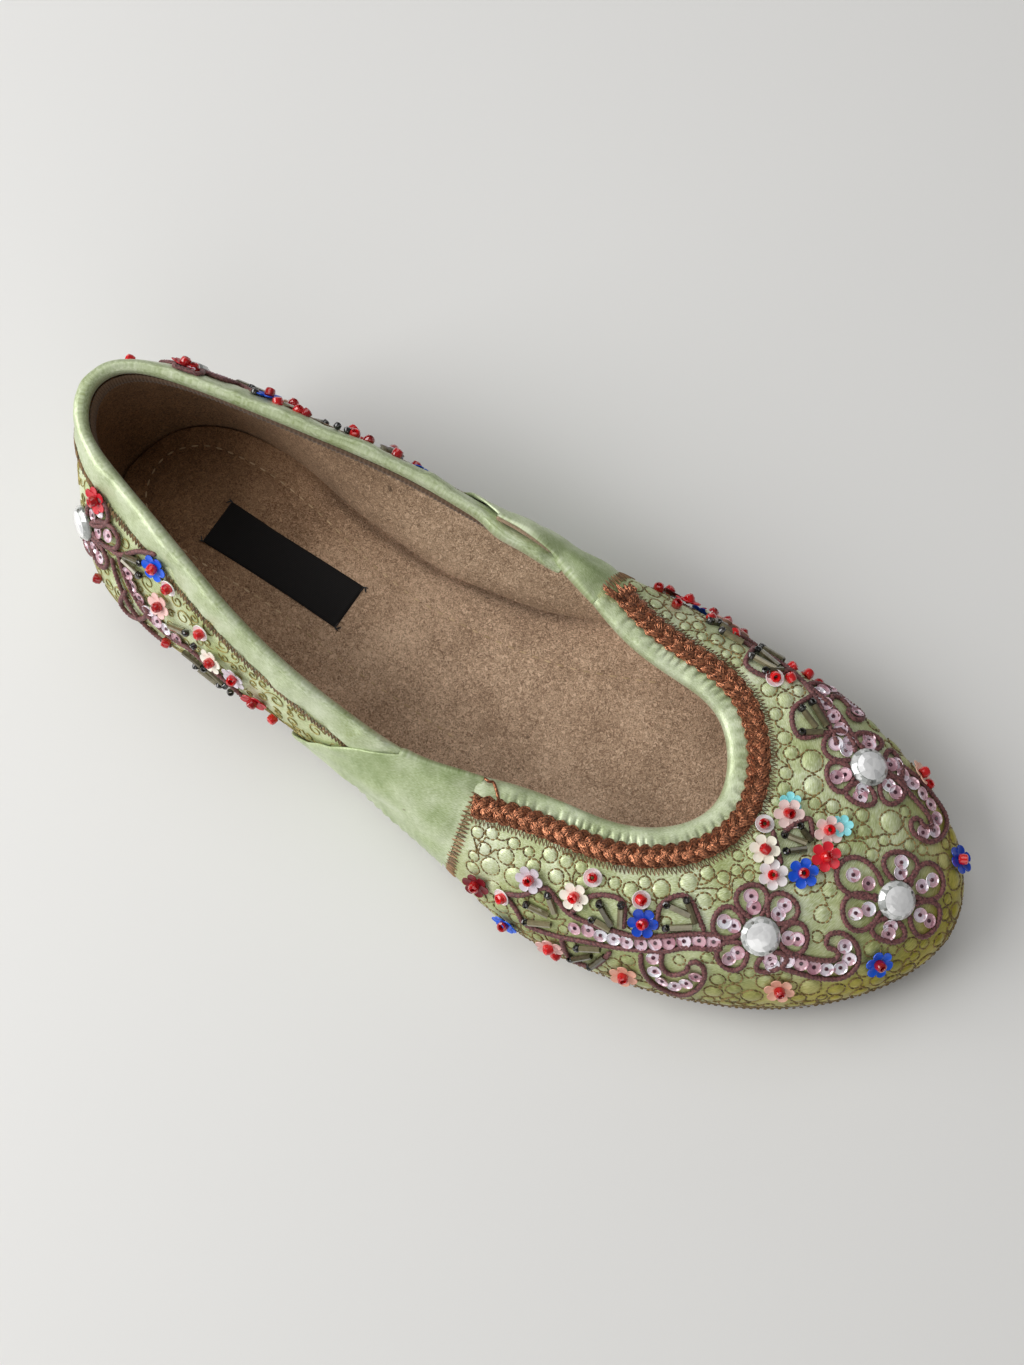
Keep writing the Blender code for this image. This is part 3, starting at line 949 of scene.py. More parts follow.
def cloth_group():
    """Fine streaks of satin floats and slow blotches of tone, from a flat map of the cloth in metres."""
    group, given, result = new_group(
        "satin_cloth", (("Cloth", "Vector"), ("Place", "Vector"), ("Blotch Size", "Float")),
        (("Tone", "Float"), ("Height", "Float"), ("Specks", "Float")),
    )
    speck = add_node(group, "TexNoise", {"Scale": 310.0, "Detail": 2.0})
    rare = add_node(group, "MapRange", {"From Min": 0.76, "From Max": 0.80, "To Max": 0.65})
    stretch = add_node(group, "Mapping", {"Scale": (1000.0, 4400.0, 1.0)})
    floats = add_node(group, "TexNoise", {"Scale": 1.0, "Detail": 3.0, "Roughness": 0.6})
    blotch = add_node(group, "TexNoise", {"Detail": 4.0, "Roughness": 0.6})
    both = add_node(group, "Mix", {"Factor": 0.50})
    wire(
        group, (given, "Cloth", stretch, "Vector"), (stretch, "Vector", floats, "Vector"),
        (given, "Place", blotch, "Vector"), (given, "Blotch Size", blotch, "Scale"),
        (blotch, "Fac", both, "A"), (floats, "Fac", both, "B"), (both, "Result", result, "Tone"),
        (floats, "Fac", result, "Height"), (given, "Place", speck, "Vector"), (speck, "Fac", rare, "Value"),
        (rare, "Result", result, "Specks"),
    )
    return group


SATIN_CLOTH = cloth_group()


def satin_finish(name, deep, mid, pale, flank=(1.0, 1.0, 1.0), foot=(1.0, 1.0, 1.0), blotch=70.0):
    """Satin: a soft broad gloss over streaky cloth, with painted shade lower on the wall from flank and, round
    the toe, from foot.
    """
    made, tree, shader = new_finish(name, {
        "Roughness": 0.41, "Metallic": 0.25, "Specular IOR Level": 0.85, "Sheen Weight": 0.22,
        "Sheen Roughness": 0.35,
    })
    cloth = add_node(tree, "UVMap", uv_map="cloth")
    place = add_node(tree, "TexCoord")
    group = add_node(tree, "Group", {"Blotch Size": blotch}, node_tree=SATIN_CLOTH)
    tone = add_ramp(tree, ((0.36, deep), (0.49, mid), (0.62, pale)))
    # Painted shade: lower on the wall the cloth is multiplied by flank, which also stands for dirt, and low
    # round the toe by foot, darker and yellower.
    split = add_node(tree, "SeparateXYZ")
    low = add_node(
        tree, "MapRange", {"From Min": 0.029, "From Max": 0.0145}, interpolation_type="SMOOTHSTEP"
    )
    ahead = add_node(
        tree, "MapRange", {"From Min": 0.145, "From Max": 0.205, "To Min": 0.30},
        interpolation_type="SMOOTHSTEP",
    )
    toe = add_node(tree, "Math", operation="MULTIPLY")
    tint = add_ramp(tree, ((0.0, (1.0, 1.0, 1.0)), (0.34, flank), (1.0, foot)))
    soiled = add_node(tree, "Mix", {"B": (0.16, 0.12, 0.055, 1.0)}, data_type="RGBA")
    cloth_with_painted_shade = add_node(tree, "Mix", {"Factor": 1.0}, data_type="RGBA", blend_type="MULTIPLY")
    wire(
        tree, (cloth, "UV", group, "Cloth"), (place, "Object", group, "Place"),
        (place, "Object", split, "Vector"), (split, "Z", low, "Value"), (group, "Tone", tone, "Fac"),
        (tone, "Color", cloth_with_painted_shade, "A"), (split, "X", ahead, "Value"), (low, "Result", toe, 0),
        (ahead, "Result", toe, 1), (toe, "Value", tint, "Fac"), (tint, "Color", cloth_with_painted_shade, "B"),
        (cloth_with_painted_shade, "Result", soiled, "A"), (group, "Specks", soiled, "Factor"),
    )
    dress(tree, shader, (soiled, "Result"), (group, "Height"), 0.6, 0.00009)
    return made


def sheet_down_wall(v, face_share, depth, top, outer, thick):
    """below and proud of a sheet that runs down the wall, turns under at its foot and comes back up."""
    down = np.clip(v / face_share, 0, 1)
    back = np.clip((v - face_share) / (1 - face_share), 0, 1)
    turn = ease((down - FOOT_TURN) / (1 - FOOT_TURN))
    below = top + (depth - top) * np.where(v < face_share, np.minimum(down / FOOT_TURN, 1.0), 1 - back)
    inner = outer - thick - (1 - back) * (FOOT_TUCK - thick) * 0.5
    return below, np.where(v < face_share, outer - turn * FOOT_TUCK, inner)


QUARTER_OUT = 0.15 * MM
QUARTER_THICK = 0.6 * MM
QUARTER_TOP = 0.6 * MM
QUARTER_PUCKER = 0.12 * MM
QUARTER_PUCKER_WIDE = 5 * MM
quarter_satin = satin_finish("quarter_satin", SATIN_DEEP, SATIN_MID, SATIN_PALE, SATIN_FLANK_SHADE_AND_DIRT, SATIN_FOOT_SHADE)


def lay_quarter(u, v):
    v = back_to_start(v)
    distance = u * ALL_ROUND
    depth = wall_depth(distance)
    below, proud = sheet_down_wall(v, 0.9, depth, QUARTER_TOP, QUARTER_OUT, QUARTER_THICK)
    points = on_wall(distance, below, proud)
    pucker = rippled(points, QUARTER_PUCKER_WIDE, 21) * QUARTER_PUCKER * (v < 0.88)
    points += out_of_wall(distance, below) * pucker[:, None]
    return points, np.stack([distance, below], axis=1)


quarter = grid_piece("quarter_satin", 420, 50, lay_quarter, quarter_satin)
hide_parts("upper")


# ------------------------ Embroidery plan
# What is pounced onto the cloth before it is worked: three flowers on stems with
# curling tails, fans of bugles, and loose flowers. The toe's places are in
# millimetres along, across and above; y is positive on the inner side.
PETAL_FLOWERS = (
    # name, gem, petals, petal width
    ("outer", (174.5, -19.5, 26), ((169, -14, 27.5), (175.5, -12, 27), (181, -16, 25.5), (179.5, -23, 24),
     (171.5, -26.5, 25), (167, -21, 27)), 7.0),
    ("toe", (196.5, 4, 23.5), ((187, 3.5, 26), (193.5, 11, 24), (200.5, 11.5, 21.5), (204, 4.5, 20),
     (198.5, -2.5, 22.5), (191, -2.5, 25)), 8.2),
    ("inner", (176, 27, 26), ((168, 27.5, 27), (173, 32.5, 25), (180.5, 31, 23.5), (183, 25.5, 24.5),
     (177.5, 20.5, 26.5), (171.5, 21.5, 27.5)), 7.0),
    ("heel_outer", (-16, -20.5, 34), ((-5.5, -21, 40.5), (-9.5, -25, 32.5), (-14.5, -24.5, 29.5),
     (-11, -18, 42)), 6.6),
    ("heel_inner", (-13.5, 23.5, 40.5), ((-5, 24.5, 44), (-8.5, 26, 35), (-17, 23.5, 28), (-16, 21, 45.5),
     (-9.5, 21, 50)), 6.6),
)
CORDS = (
    # outer side of the toe: two stem lines, their curl, the tail past the flower, and five fans
    ((119, -41.5, 20), (123, -40, 22), (127, -36, 25), (131, -37, 24.5), (135, -38, 23.5), (141, -37.5, 24),
     (146, -36, 24.5), (151, -34.5, 25), (155.5, -31.5, 26), (161, -27.5, 26.5), (166, -24.5, 26.5)),
    ((126, -45, 15.5), (130.5, -44.5, 16.5), (135.5, -43.5, 18), (140.5, -41.5, 19.5), (145.5, -40, 21),
     (150.5, -38, 22.5), (157.5, -34, 24), (161, -31, 25), (165.5, -28.5, 25.5), (169, -26.5, 25.5)),
    ((153.5, -37, 22.5), (155.5, -40, 19), (158.5, -41.5, 15.5), (162.5, -41.5, 13), (166.5, -40, 12.5),
     (168.5, -38, 16), (169, -35, 20.5), (167.5, -32.5, 23), (165, -32, 23.5), (164, -33.5, 23)),
    ((157.5, -34, 24), (159, -37, 21.5), (161.5, -38, 20), (163.5, -36.5, 20.5), (164.5, -35, 22),
     (164, -33.5, 23)),
    ((181.5, -23, 23.5), (187, -21.5, 22), (192, -19.5, 20.5), (195.5, -17, 20), (196.5, -13, 21),
     (194, -9.5, 23), (190, -9, 24.5), (187.5, -11, 25), (188, -13.5, 24)),
    ((181, -20, 24.5), (184.5, -18.5, 24), (189, -16.5, 23), (191.5, -14.5, 22.5), (191, -13, 23.5),
     (188, -13.5, 24)),
    ((119, -41.5, 20), (123.5, -43.5, 18), (126, -45, 15.5)),
    ((135, -38, 23.5), (137.5, -32, 27), (144, -29.5, 27.5), (147.5, -34.5, 25)),
    ((154, -31, 26.5), (152, -25.5, 28), (156, -21, 28), (163.5, -25.5, 27)),
    ((135.5, -43.5, 18), (139.5, -46, 12), (145, -45.5, 12.5), (147.5, -40.5, 20.5)),
    ((164.5, 2.5, 28), (167.5, -0.5, 28), (170.5, -3.5, 28)),
    ((167, 3, 28), (168.5, 6.5, 28), (170.5, 9, 28), (173.5, 5.5, 28)),
    # inner side of the toe
    ((132.5, 38.5, 24), (140, 38, 24.5), (146, 38, 25.5), (151, 37, 26), (156.5, 35, 26.5), (162, 31.5, 27),
     (167.5, 27.5, 27)),
    ((154, 36.5, 26.5), (157, 36, 26.5), (163, 34.5, 26), (170, 31, 26)),
    ((154, 36.5, 26.5), (156.5, 39, 24.5), (160, 40, 21.5), (164.5, 40, 20.5), (168, 39, 21.5),
     (169, 36.5, 23.5), (167.5, 35.5, 25), (165.5, 36, 25), (165.5, 37.5, 24)),
    ((161, 36, 25.5), (160.5, 37.5, 25), (162.5, 38.5, 23.5), (165.5, 37.5, 24)),
    ((182, 32, 22.5), (187, 32, 20.5), (192.5, 31, 18.5), (197, 28.5, 16.5), (198.5, 24, 19),
     (196.5, 20, 21.5), (192.5, 19.5, 23.5), (190.5, 21.5, 23.5), (191.5, 23.5, 22.5)),
    ((181.5, 28.5, 24), (186.5, 27.5, 23.5), (190, 26.5, 22.5), (193, 25.5, 21.5), (195, 23.5, 21),
     (193.5, 22.5, 22.5), (191.5, 23.5, 22.5)),
    ((126.5, 38, 24), (129, 41, 19), (134, 41.5, 17.5), (139, 40.5, 20)),
    ((139, 37.5, 24.5), (139.5, 33, 28), (145, 33, 28.5), (149, 37, 25.5)),
    ((156.5, 35, 26.5), (154.5, 29, 28.5), (159, 24.5, 28.5), (164.5, 29.5, 27.5)),
    # heel, outer side
    ((-5.5, -23, 37.5), (-1.5, -23, 38.5), (4, -21, 43.5), (10, -18.5, 46)),
    ((-2.5, -23, 38.5), (0.5, -26.5, 34), (5.5, -30, 29), (10.5, -31.5, 26.5), (16.5, -32.5, 26),
     (22.5, -32.5, 27), (29.5, -33.5, 25), (34.5, -34.5, 23), (39.5, -35, 17.5)),
    ((-4.5, -25, 36), (-2, -27.5, 31), (3, -31, 24), (9, -32.5, 20), (15, -33.5, 20)),
    ((1, -29, 30), (-1.5, -31, 22.5), (1.5, -32.5, 20.5), (6.5, -31.5, 24.5), (8, -29.5, 29),
     (5, -29, 30)),
    # heel, inner side
    ((-2.5, 25.5, 41.5), (2.5, 25, 44.5), (6.5, 24, 47)),
    ((-2.5, 25.5, 41.5), (0, 27.5, 36.5), (3.5, 28.5, 30.5), (6.5, 28.5, 24.5), (10.5, 28.5, 19.5),
     (16, 28, 16.5), (23, 29, 18), (31.5, 30, 20.5), (37.5, 31, 20), (45, 32, 21.5)),
    ((-4.5, 26, 40), (-2.5, 27.5, 34), (1, 28, 28), (4, 28.5, 21.5), (8, 28, 17.5)),
    ((7, 28.5, 20), (0, 27, 12), (-6, 26, 12), (-4, 27.5, 20.5), (-1.5, 28, 26), (1, 28.5, 26),
     (0, 28, 22)),
)
SMALL_SEQUINS = (
    (137.5, -40, 21.5), (140.5, -39, 22.5), (143.5, -38.5, 22.7), (146.5, -37.6, 23.2), (149.5, -36.5, 23.5),
    (152.5, -35, 24), (155.2, -33.5, 25), (157.7, -31.7, 25.5), (160.5, -29.7, 26), (163.3, -27.7, 26),
    (166.2, -26.2, 26),
    (156.5, -36.5, 22.5), (158.3, -39, 19.5), (161, -40, 17), (164, -39.5, 16.5), (166, -37.5, 18.5),
    (167, -35, 21),
    (182.5, -20.7, 24), (185.5, -19.7, 23.5), (188.3, -18.7, 22.5), (191, -17.5, 22), (193.5, -15.5, 21.5),
    (194, -12.7, 22), (191.5, -11, 23),
    (157.5, 36, 26), (160, 34.5, 26), (163, 33, 26.5), (166, 31.2, 26.5), (169.3, 29.3, 26.5),
    (158, 37.7, 25.5), (159.2, 39.2, 23), (162, 39.6, 22), (165, 39.2, 22.3), (167.3, 37.5, 23.5),
    (183.5, 30.2, 23), (186.5, 29.7, 22), (189.5, 29, 21), (192.5, 28, 20.3), (195.3, 26, 20.2),
    (196, 23, 21), (194, 20.9, 22.5),
    (1.5, -25.5, 35.5), (3.5, -27.5, 33.5), (5.5, -29, 31.5), (8.5, -30, 29.5), (11.5, -31, 28),
    (14.5, -31.5, 28), (18, -32, 27.5),
    (-1.5, 26.5, 39.5), (-0.5, 27.5, 36), (2, 28, 33.5), (4, 28.5, 31.5), (6.5, 28.5, 29.5),
    (8.5, 28.5, 26.5), (11, 29, 25.5), (14, 29, 24.5), (17, 29, 23.5),
)
CUPPED_FLOWERS = {
    # colour: places
    "dark_red": ((112, -43, 17.5), (113, 41.5, 15)),
    "red": ((178, 3.5, 27.5), (118.5, 41, 17), (-11, -15, 45), (42, -34.5, 23.5), (-11, 19.5, 48)),
    "blue": ((122, -46, 11), (150.5, -31, 26.5), (200.5, -10, 20), (204.5, 21, 16), (175.5, -2.5, 27.5),
             (122, 43, 9), (152, 42.5, 12.5), (10, -21.5, 43), (9.5, 24.5, 45), (44.5, 32.5, 29)),
    "pink": ((134, -45.5, 13), (133.5, 43.5, 12), (129, 42.5, 14.5), (156, 42, 14), (12.5, -28, 34.5),
             (10.5, 28.5, 34.5)),
    "shell": ((166, 7.5, 28.5), (175.5, 9, 27.5)),
    "peach": ((152.5, -43, 14.5), (184.5, -27, 19.5), (187, 33, 18.5)),
    "ivory": ((134, -34, 26), (165.5, -2.5, 28.5), (29.5, -32, 29.5), (29, 30.5, 30)),
    "lilac": ((123, -36, 25), (36.5, -32.5, 29), (39, 32, 34)),
    "white": ((170, -6.5, 28),),
    "sea": ((165, 9.8, 28.5), (177.5, 11.5, 27)),
}
ROUND_CUPS = (
    (135.5, -28.5, 28), (119, -42, 19), (147.5, -27, 28), (162.5, 2.5, 28.5), (147, 33.5, 28),
    (125, 42, 15.5), (15, -24, 41.5), (26, -28.5, 36.5), (15, 27, 43.5), (29.5, 30, 39),
)
LONE_RED = (
    (136, -46.5, 10), (111, 40, 20.5), (117.5, 38.2, 24.8), (150, 35.5, 27), (126, 39.5, 21.5), (133, 39, 23),
    (190, 32.5, 18.5),
    (149, 38.5, 25), (153, 40, 24), (-10.5, -29, 22), (13.5, -33.5, 21), (46, -35, 16), (-9, 21, 48),
    (13, 24, 46.5), (18, 25.5, 45.5), (20, 25.5, 45), (32, 28, 42), (35.5, 29, 41.5), (42.5, 30.5, 39.5),
    (-11, 26, 17), (9, 27, 12), (33, 28.5, 12), (39, 30, 14), (46.5, 32, 19), (-22, 14, 48),
)
LONE_BLACK = (
    (7, 23, 47), (27.5, 27.5, 43), (30, 28, 42.5), (24, -31.5, 30.5), (23.5, -34.5, 21), (33, -35, 16.5),
    (20, 27.5, 12), (32, 29, 14.5),
)
BUGLES = (
    # black bead's end, far end
    ((125, -41, 21), (130.8, -40.7, 21.5)), ((128.5, -36.8, 24.5), (131.8, -39.7, 22.7)),
    ((126.5, -44.2, 17), (132.2, -42, 19.8)),
    ((139.8, -32.5, 26.5), (144.6, -35.3, 25)), ((144.2, -30.2, 27.3), (146.6, -34.8, 25.3)),
    ((140, -36.2, 24.5), (144.8, -36.3, 24.5)),
    ((153, -25, 28), (158.7, -24.2, 27.5)), ((156.3, -21.7, 28), (160.7, -25, 27.2)),
    ((155.5, -29.2, 26.5), (160.4, -26, 27)),
    ((140, -43.5, 17.5), (145, -41.2, 20)), ((139.7, -45.8, 12.5), (143.8, -43.2, 16.8)),
    ((144.7, -45.7, 13), (146.6, -42, 18.2)),
    ((167.5, 2.8, 28), (172.7, 3.8, 28)), ((169.6, 6.4, 28), (173.6, 4.7, 28)),
    ((169.8, -0.3, 28), (173.4, 2.7, 28)),
    ((128.3, 39.6, 22.3), (133.6, 38.8, 23.8)), ((126.4, 38.2, 24), (129.8, 40.9, 20)),
    ((130.3, 37.3, 25), (136.2, 37.2, 25.6)),
    ((139.6, 35, 27.3), (146, 35.4, 27.3)), ((144.3, 33.8, 28), (147.6, 36, 26.5)),
    ((140.2, 37, 25.4), (146.2, 36.2, 26.2)),
    ((140, 40.2, 21.6), (146.4, 38.8, 24)), ((140.2, 41.3, 19), (146, 40.5, 20.5)),
    ((156, 30.5, 28), (161.2, 28.4, 28)), ((157.2, 33, 27.3), (163, 30, 27.3)),
    ((158.8, 25.6, 28), (162.8, 28.2, 27.5)),
    ((5.5, -24.5, 38), (-0.3, -23.7, 38.3)), ((5.5, -22.3, 41.5), (0.2, -22.8, 39.8)),
    ((21.5, -30, 33), (16, -30.5, 30.5)), ((26.7, -34.2, 23.8), (20, -33.5, 24)),
    ((33, -34.7, 21.8), (28, -34.2, 24.3)), ((30, -35, 17.5), (24, -34.6, 19.5)),
    ((4, 25.5, 44.3), (-1, 25.5, 42)), ((6, 27, 39.5), (0.5, 26.6, 42)), ((8.5, 26.5, 43.3), (1, 26.3, 41)),
    ((21, 29.5, 35.5), (15, 29, 31.5)), ((23, 30, 32), (16.5, 29.2, 29)),
    ((14.5, 27, 12.5), (20, 28, 14.5)), ((31.5, 30.5, 24), (25, 29.5, 20.7)),
    ((28.5, 28.7, 13), (24, 28.8, 16)),
)
GEM_WIDE = 9.2 * MM
CORD_STEP = 0.38 * MM
PETAL_POINTS = 13
PETAL_LONGEST = 15.5 * MM   # from the stone's middle to the petal's tip
PETAL_DOTS = (0.31, 0.66)   # shares of a petal's length


def tree_of(points):
    """These points sorted so that those near a place are quickly found."""
    tree = KDTree(len(points))
    for i, point in enumerate(points):
        tree.insert(point, i)
    tree.balance()
    return tree


tree_distance = np.arange(380) * ALL_ROUND / 380
tree_rise = np.linspace(0.01, 0.99, 60)
wall_tree = tree_of(wall_point(tree_distance[:, None], tree_rise[None, :]).reshape(-1, 3))


def find_on_wall(points):
    """Distance and rise of the places on the upper's outside nearest to these points."""
    points = np.asarray(points, float)
    nearest = np.array([wall_tree.find(point)[1] for point in points])
    distance = tree_distance[nearest // len(tree_rise)]
    rise = tree_rise[nearest % len(tree_rise)]
    for _ in range(5):
        here = wall_point(distance, rise)
        along = (wall_point(distance + FINE_STEP, rise) - here) / FINE_STEP
        upward = (wall_point(distance, rise + FINE_RISE) - here) / FINE_RISE
        miss = points - here
        a = np.sum(along * along, axis=1)
        b = np.sum(along * upward, axis=1)
        c = np.sum(upward * upward, axis=1)
        p = np.sum(along * miss, axis=1)
        q = np.sum(upward * miss, axis=1)
        whole = a * c - b * b
        distance = distance + np.clip((c * p - b * q) / whole, -4 * MM, 4 * MM)
        rise = np.clip(rise + np.clip((a * q - b * p) / whole, -0.08, 0.08), 0.012, 0.995)
    return distance, rise


def laid(points, proud):
    """These points brought onto the wall and lifted off it, and the wall's outward normals there."""
    distance, rise = find_on_wall(points)
    out = wall_normal(distance, rise)
    return wall_point(distance, rise) + proud * out, out


def petal_loops():
    """Petal outlines, and the places of the two sequins in each."""
    loops = []
    dots = []
    for _, gem, petals, wide in PETAL_FLOWERS:
        gem = np.array(gem) * MM
        middle = laid([gem], 0.0)[0][0]
        for petal in petals:
            way = laid([np.array(petal) * MM], 0.0)[0][0] - middle
            reach = np.linalg.norm(way)
            out = laid([middle + way * 0.6], 0.0)[1][0]
            across = np.cross(out, way / reach)
            start = GEM_WIDE / 2 * 0.92
            tip = min(2 * reach - start, PETAL_LONGEST)
            angle = np.linspace(0.28, TURN - 0.28, PETAL_POINTS)
            along = start + (tip - start) * (1 - np.cos(angle)) / 2
            sideways = wide * MM / 2 * np.sin(angle) * (1 - 0.2 * np.cos(angle))
            loops.append(middle + along[:, None] * way / reach + sideways[:, None] * across)
            dots += [middle + way / reach * (start + (tip - start) * share) for share in PETAL_DOTS]
    return loops, np.array(dots)


petals, petal_dots = petal_loops()
cord_lines = [walk(loop, CORD_STEP) for loop in petals]
cord_lines += [walk(np.array(line) * MM, CORD_STEP) for line in CORDS]
GEMS = np.array([flower[1] for flower in PETAL_FLOWERS]) * MM


# ------------------------ Vamp panel
# A shaped apron of the same satin, embroidered over a thin wadding with rings
# of running stitch so that each stands up as a little bubble. It runs from
# seam to seam round the toe, over the quarter's cloth.
def row_distance(row, side):
    """Distance round the shoe to a row number on one side; the medial side counts back from the end."""
    last = len(SECTIONS) - 1
    place = row if side == "lateral" else 2 * last - row
    return np.interp(place, np.arange(len(KNOTS)), KNOTS)


VAMP_OUT = 0.45 * MM
VAMP_THICK = 0.5 * MM
VAMP_TOP = 0.9 * MM
VAMP_FACE_SHARE = 0.95
VAMP_WAVE = 0.10 * MM
VAMP_WAVE_WIDE = 9 * MM
VAMP_FROM = row_distance(7.66, "lateral")
VAMP_TO = row_distance(7.62, "medial")
VAMP_LEAN_LATERAL = row_distance(7.20, "lateral") - VAMP_FROM
VAMP_LEAN_MEDIAL = row_distance(7.15, "medial") - VAMP_TO
BUBBLE_SMALL = 1.25 * MM
BUBBLE_LARGE = 2.75 * MM
BUBBLE_TRIES = 14000
BUBBLE_HIGH = 0.38 * MM
BUBBLE_GAP = 0.45 * MM
BUBBLE_OFF_SEAM = 1.2 * MM
BUBBLE_OFF_FOOT = 1.9 * MM
BUBBLE_OFF_SOLE = 0.8 * MM
CORD_REACH = 0.7 * MM
STITCH_PULL = 0.22 * MM      # how far a bubble's ring of stitches draws the cloth in
PANEL_FOOT = 9.0 * MM        # over which the panel thins to its stitched edge
PANEL_PRESSED = 0.25 * MM    # and how far its stitches press that edge in
BRAID_MIDDLE = 6.3 * MM
BRAID_WIDE = 5.8 * MM
BRAID_SCALLOP = 3.0 * MM      # between the loops that show along each side of the plait
QUILT_TOP = BRAID_MIDDLE + BRAID_WIDE / 2 + 2.3 * MM
QUILT_SEED = 11


def keep_clear():
    """Places that a bubble stays off, with how far each reaches: cords, then stones, petal sequins,
    small sequins, cups, flower sequins and bugles."""
    spots = []
    reach = []
    for line in cord_lines:
        spots.append(line[::3])
        reach += [CORD_REACH] * len(line[::3])
    for places, far in (
        (GEMS, 5.0), (petal_dots, 1.9), (np.array(SMALL_SEQUINS) * MM, 1.8), (np.array(ROUND_CUPS) * MM, 0.6),
        (np.array([place for group in CUPPED_FLOWERS.values() for place in group]) * MM, 1.2),
        (np.array([(np.array(a) + np.array(b)) / 2 for a, b in BUGLES]) * MM, 1.6),
    ):
        spots.append(places)
        reach += [far * MM] * len(places)
    return tree_of(laid(np.vstack(spots), 0.0)[0]), reach


def seam_shift(below, distance):
    """How far the panel's two slanting seams have moved round the shoe at this depth."""
    share = below / wall_depth(distance)
    return VAMP_LEAN_LATERAL * share, VAMP_LEAN_MEDIAL * share


def throw_bubbles():
    """Places and sizes of bubbles thrown at random on the panel, each as large as its room allows."""
    share, down, fat = np.random.default_rng(QUILT_SEED).random((3, BUBBLE_TRIES))
    spots, reach = keep_clear()
    distance = VAMP_FROM + (VAMP_TO - VAMP_FROM) * share
    depth = wall_depth(distance)
    below = QUILT_TOP + (depth - BUBBLE_OFF_FOOT - QUILT_TOP) * down
    left, right = seam_shift(below, distance)
    edge = np.minimum(distance - VAMP_FROM - left, VAMP_TO + right - distance) - BUBBLE_OFF_SEAM
    room = np.minimum(BUBBLE_LARGE * (0.62 + 0.38 * fat), edge)
    room = np.minimum(room, np.minimum(below - QUILT_TOP + BUBBLE_SMALL, depth - below - BUBBLE_OFF_SOLE))
    points = on_wall(distance, below, 0.0)
    made = []
    size = []
    for point, most in zip(points, room):
        for _, i, away in spots.find_range(point, 8 * MM):
            most = min(most, away - reach[i])
        if made and most >= BUBBLE_SMALL:
            away = np.linalg.norm(np.array(made) - point, axis=1) - np.array(size)
            most = min(most, away.min() - BUBBLE_GAP)
        if most >= BUBBLE_SMALL:
            made.append(point)
            size.append(most)
    return np.array(made), np.array(size)


bubbles, bubble_size = throw_bubbles()
bubble_tree = tree_of(bubbles)
bubble_out = laid(bubbles, 0.0)[1]


def bubble_relief(points):
    """How far each bubble pushes the cloth out, and how far its ring of stitches pulls it in."""
    lift = np.zeros(len(points))
    for i, point in enumerate(points):
        for _, j, away in bubble_tree.find_range(point, BUBBLE_LARGE * 1.4):
            share = away / bubble_size[j]
            if share < 1.0:
                lift[i] += BUBBLE_HIGH * (1 - share**2) ** 0.8 * bubble_size[j] / (2 * MM)
            lift[i] -= STITCH_PULL * max(0.0, 1 - ((share - 1.0) / 0.22) ** 2)
    return lift


VAMP_CREASES = (
    # where the toes bend the panel: soft hollows with a ridge between, across each side of the ball
    ((112, -36, 26), (118, -44, 14), 3.2, -0.35),
    ((120, -34, 27), (127, -44, 15), 2.8, 0.30),
    ((116, 36, 27), (122, 43, 16), 3.2, -0.35),
    ((126, 35, 27), (131, 42, 16), 2.8, 0.30),
)


def vamp_distance(u, below, middle):
    left, right = seam_shift(below, middle)
    start = VAMP_FROM + left
    return start + (VAMP_TO + right - start) * u


def vamp_sheet(v, distance):
    return sheet_down_wall(v, VAMP_FACE_SHARE, wall_depth(distance), VAMP_TOP, VAMP_OUT, VAMP_THICK)


def lay_vamp(u, v):
    v = back_to_start(v)
    middle = VAMP_FROM + (VAMP_TO - VAMP_FROM) * u
    distance = vamp_distance(u, vamp_sheet(v, middle)[0], middle)
    depth = wall_depth(distance)
    below, proud = vamp_sheet(v, distance)
    points = on_wall(distance, below, proud)
    out = out_of_wall(distance, below)
    outside = v < VAMP_FACE_SHARE - 0.01
    lift = np.zeros(len(points))
    lift[outside] = bubble_relief(points[outside])
    lift += (rippled(points, VAMP_WAVE_WIDE, 33) * VAMP_WAVE + creases(points, VAMP_CREASES)) * outside
    to_foot = ease((depth - below) / PANEL_FOOT)
    lift = lift * to_foot - (1 - to_foot) * PANEL_PRESSED * outside
    return points + out * lift[:, None], np.stack([distance, below], axis=1)


vamp_satin = satin_finish("vamp_satin", SATIN_DEEP, SATIN_MID, SATIN_PALE, SATIN_FLANK_SHADE_AND_DIRT, SATIN_FOOT_SHADE)
vamp = grid_piece("vamp_panel", 560, 110, lay_vamp, vamp_satin)
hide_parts("upper")


# ------------------------ Quilting thread
# Olive-brown machine thread: a ring of short running stitches round each bubble,
# and stray lines that wander from one ring to the next.
STITCH_LONG = 1.05 * MM
STITCH_SHOW = 0.74
QUILT_THICK = 0.48 * MM
QUILT_HIGH = 0.10 * MM
STRAY_REACH = 9 * MM        # how near two rings are for a stray line to join them
STRAY_SHORTEST = 0.8 * MM
STRAY_WAVER = 0.8 * MM
STRAY_LEFT_OUT = 0.25       # share of such lines
quilt_thread = thread_finish("quilt_thread", (0.115, 0.068, 0.018), (0.31, 0.20, 0.060), 0.6)


def level_axes(out):
    """Two directions in cloth that faces out: one level, one up the wall."""
    across = np.cross(out, (0.0, 0.0, 1.0))
    across /= np.linalg.norm(across)
    return across, np.cross(across, out)


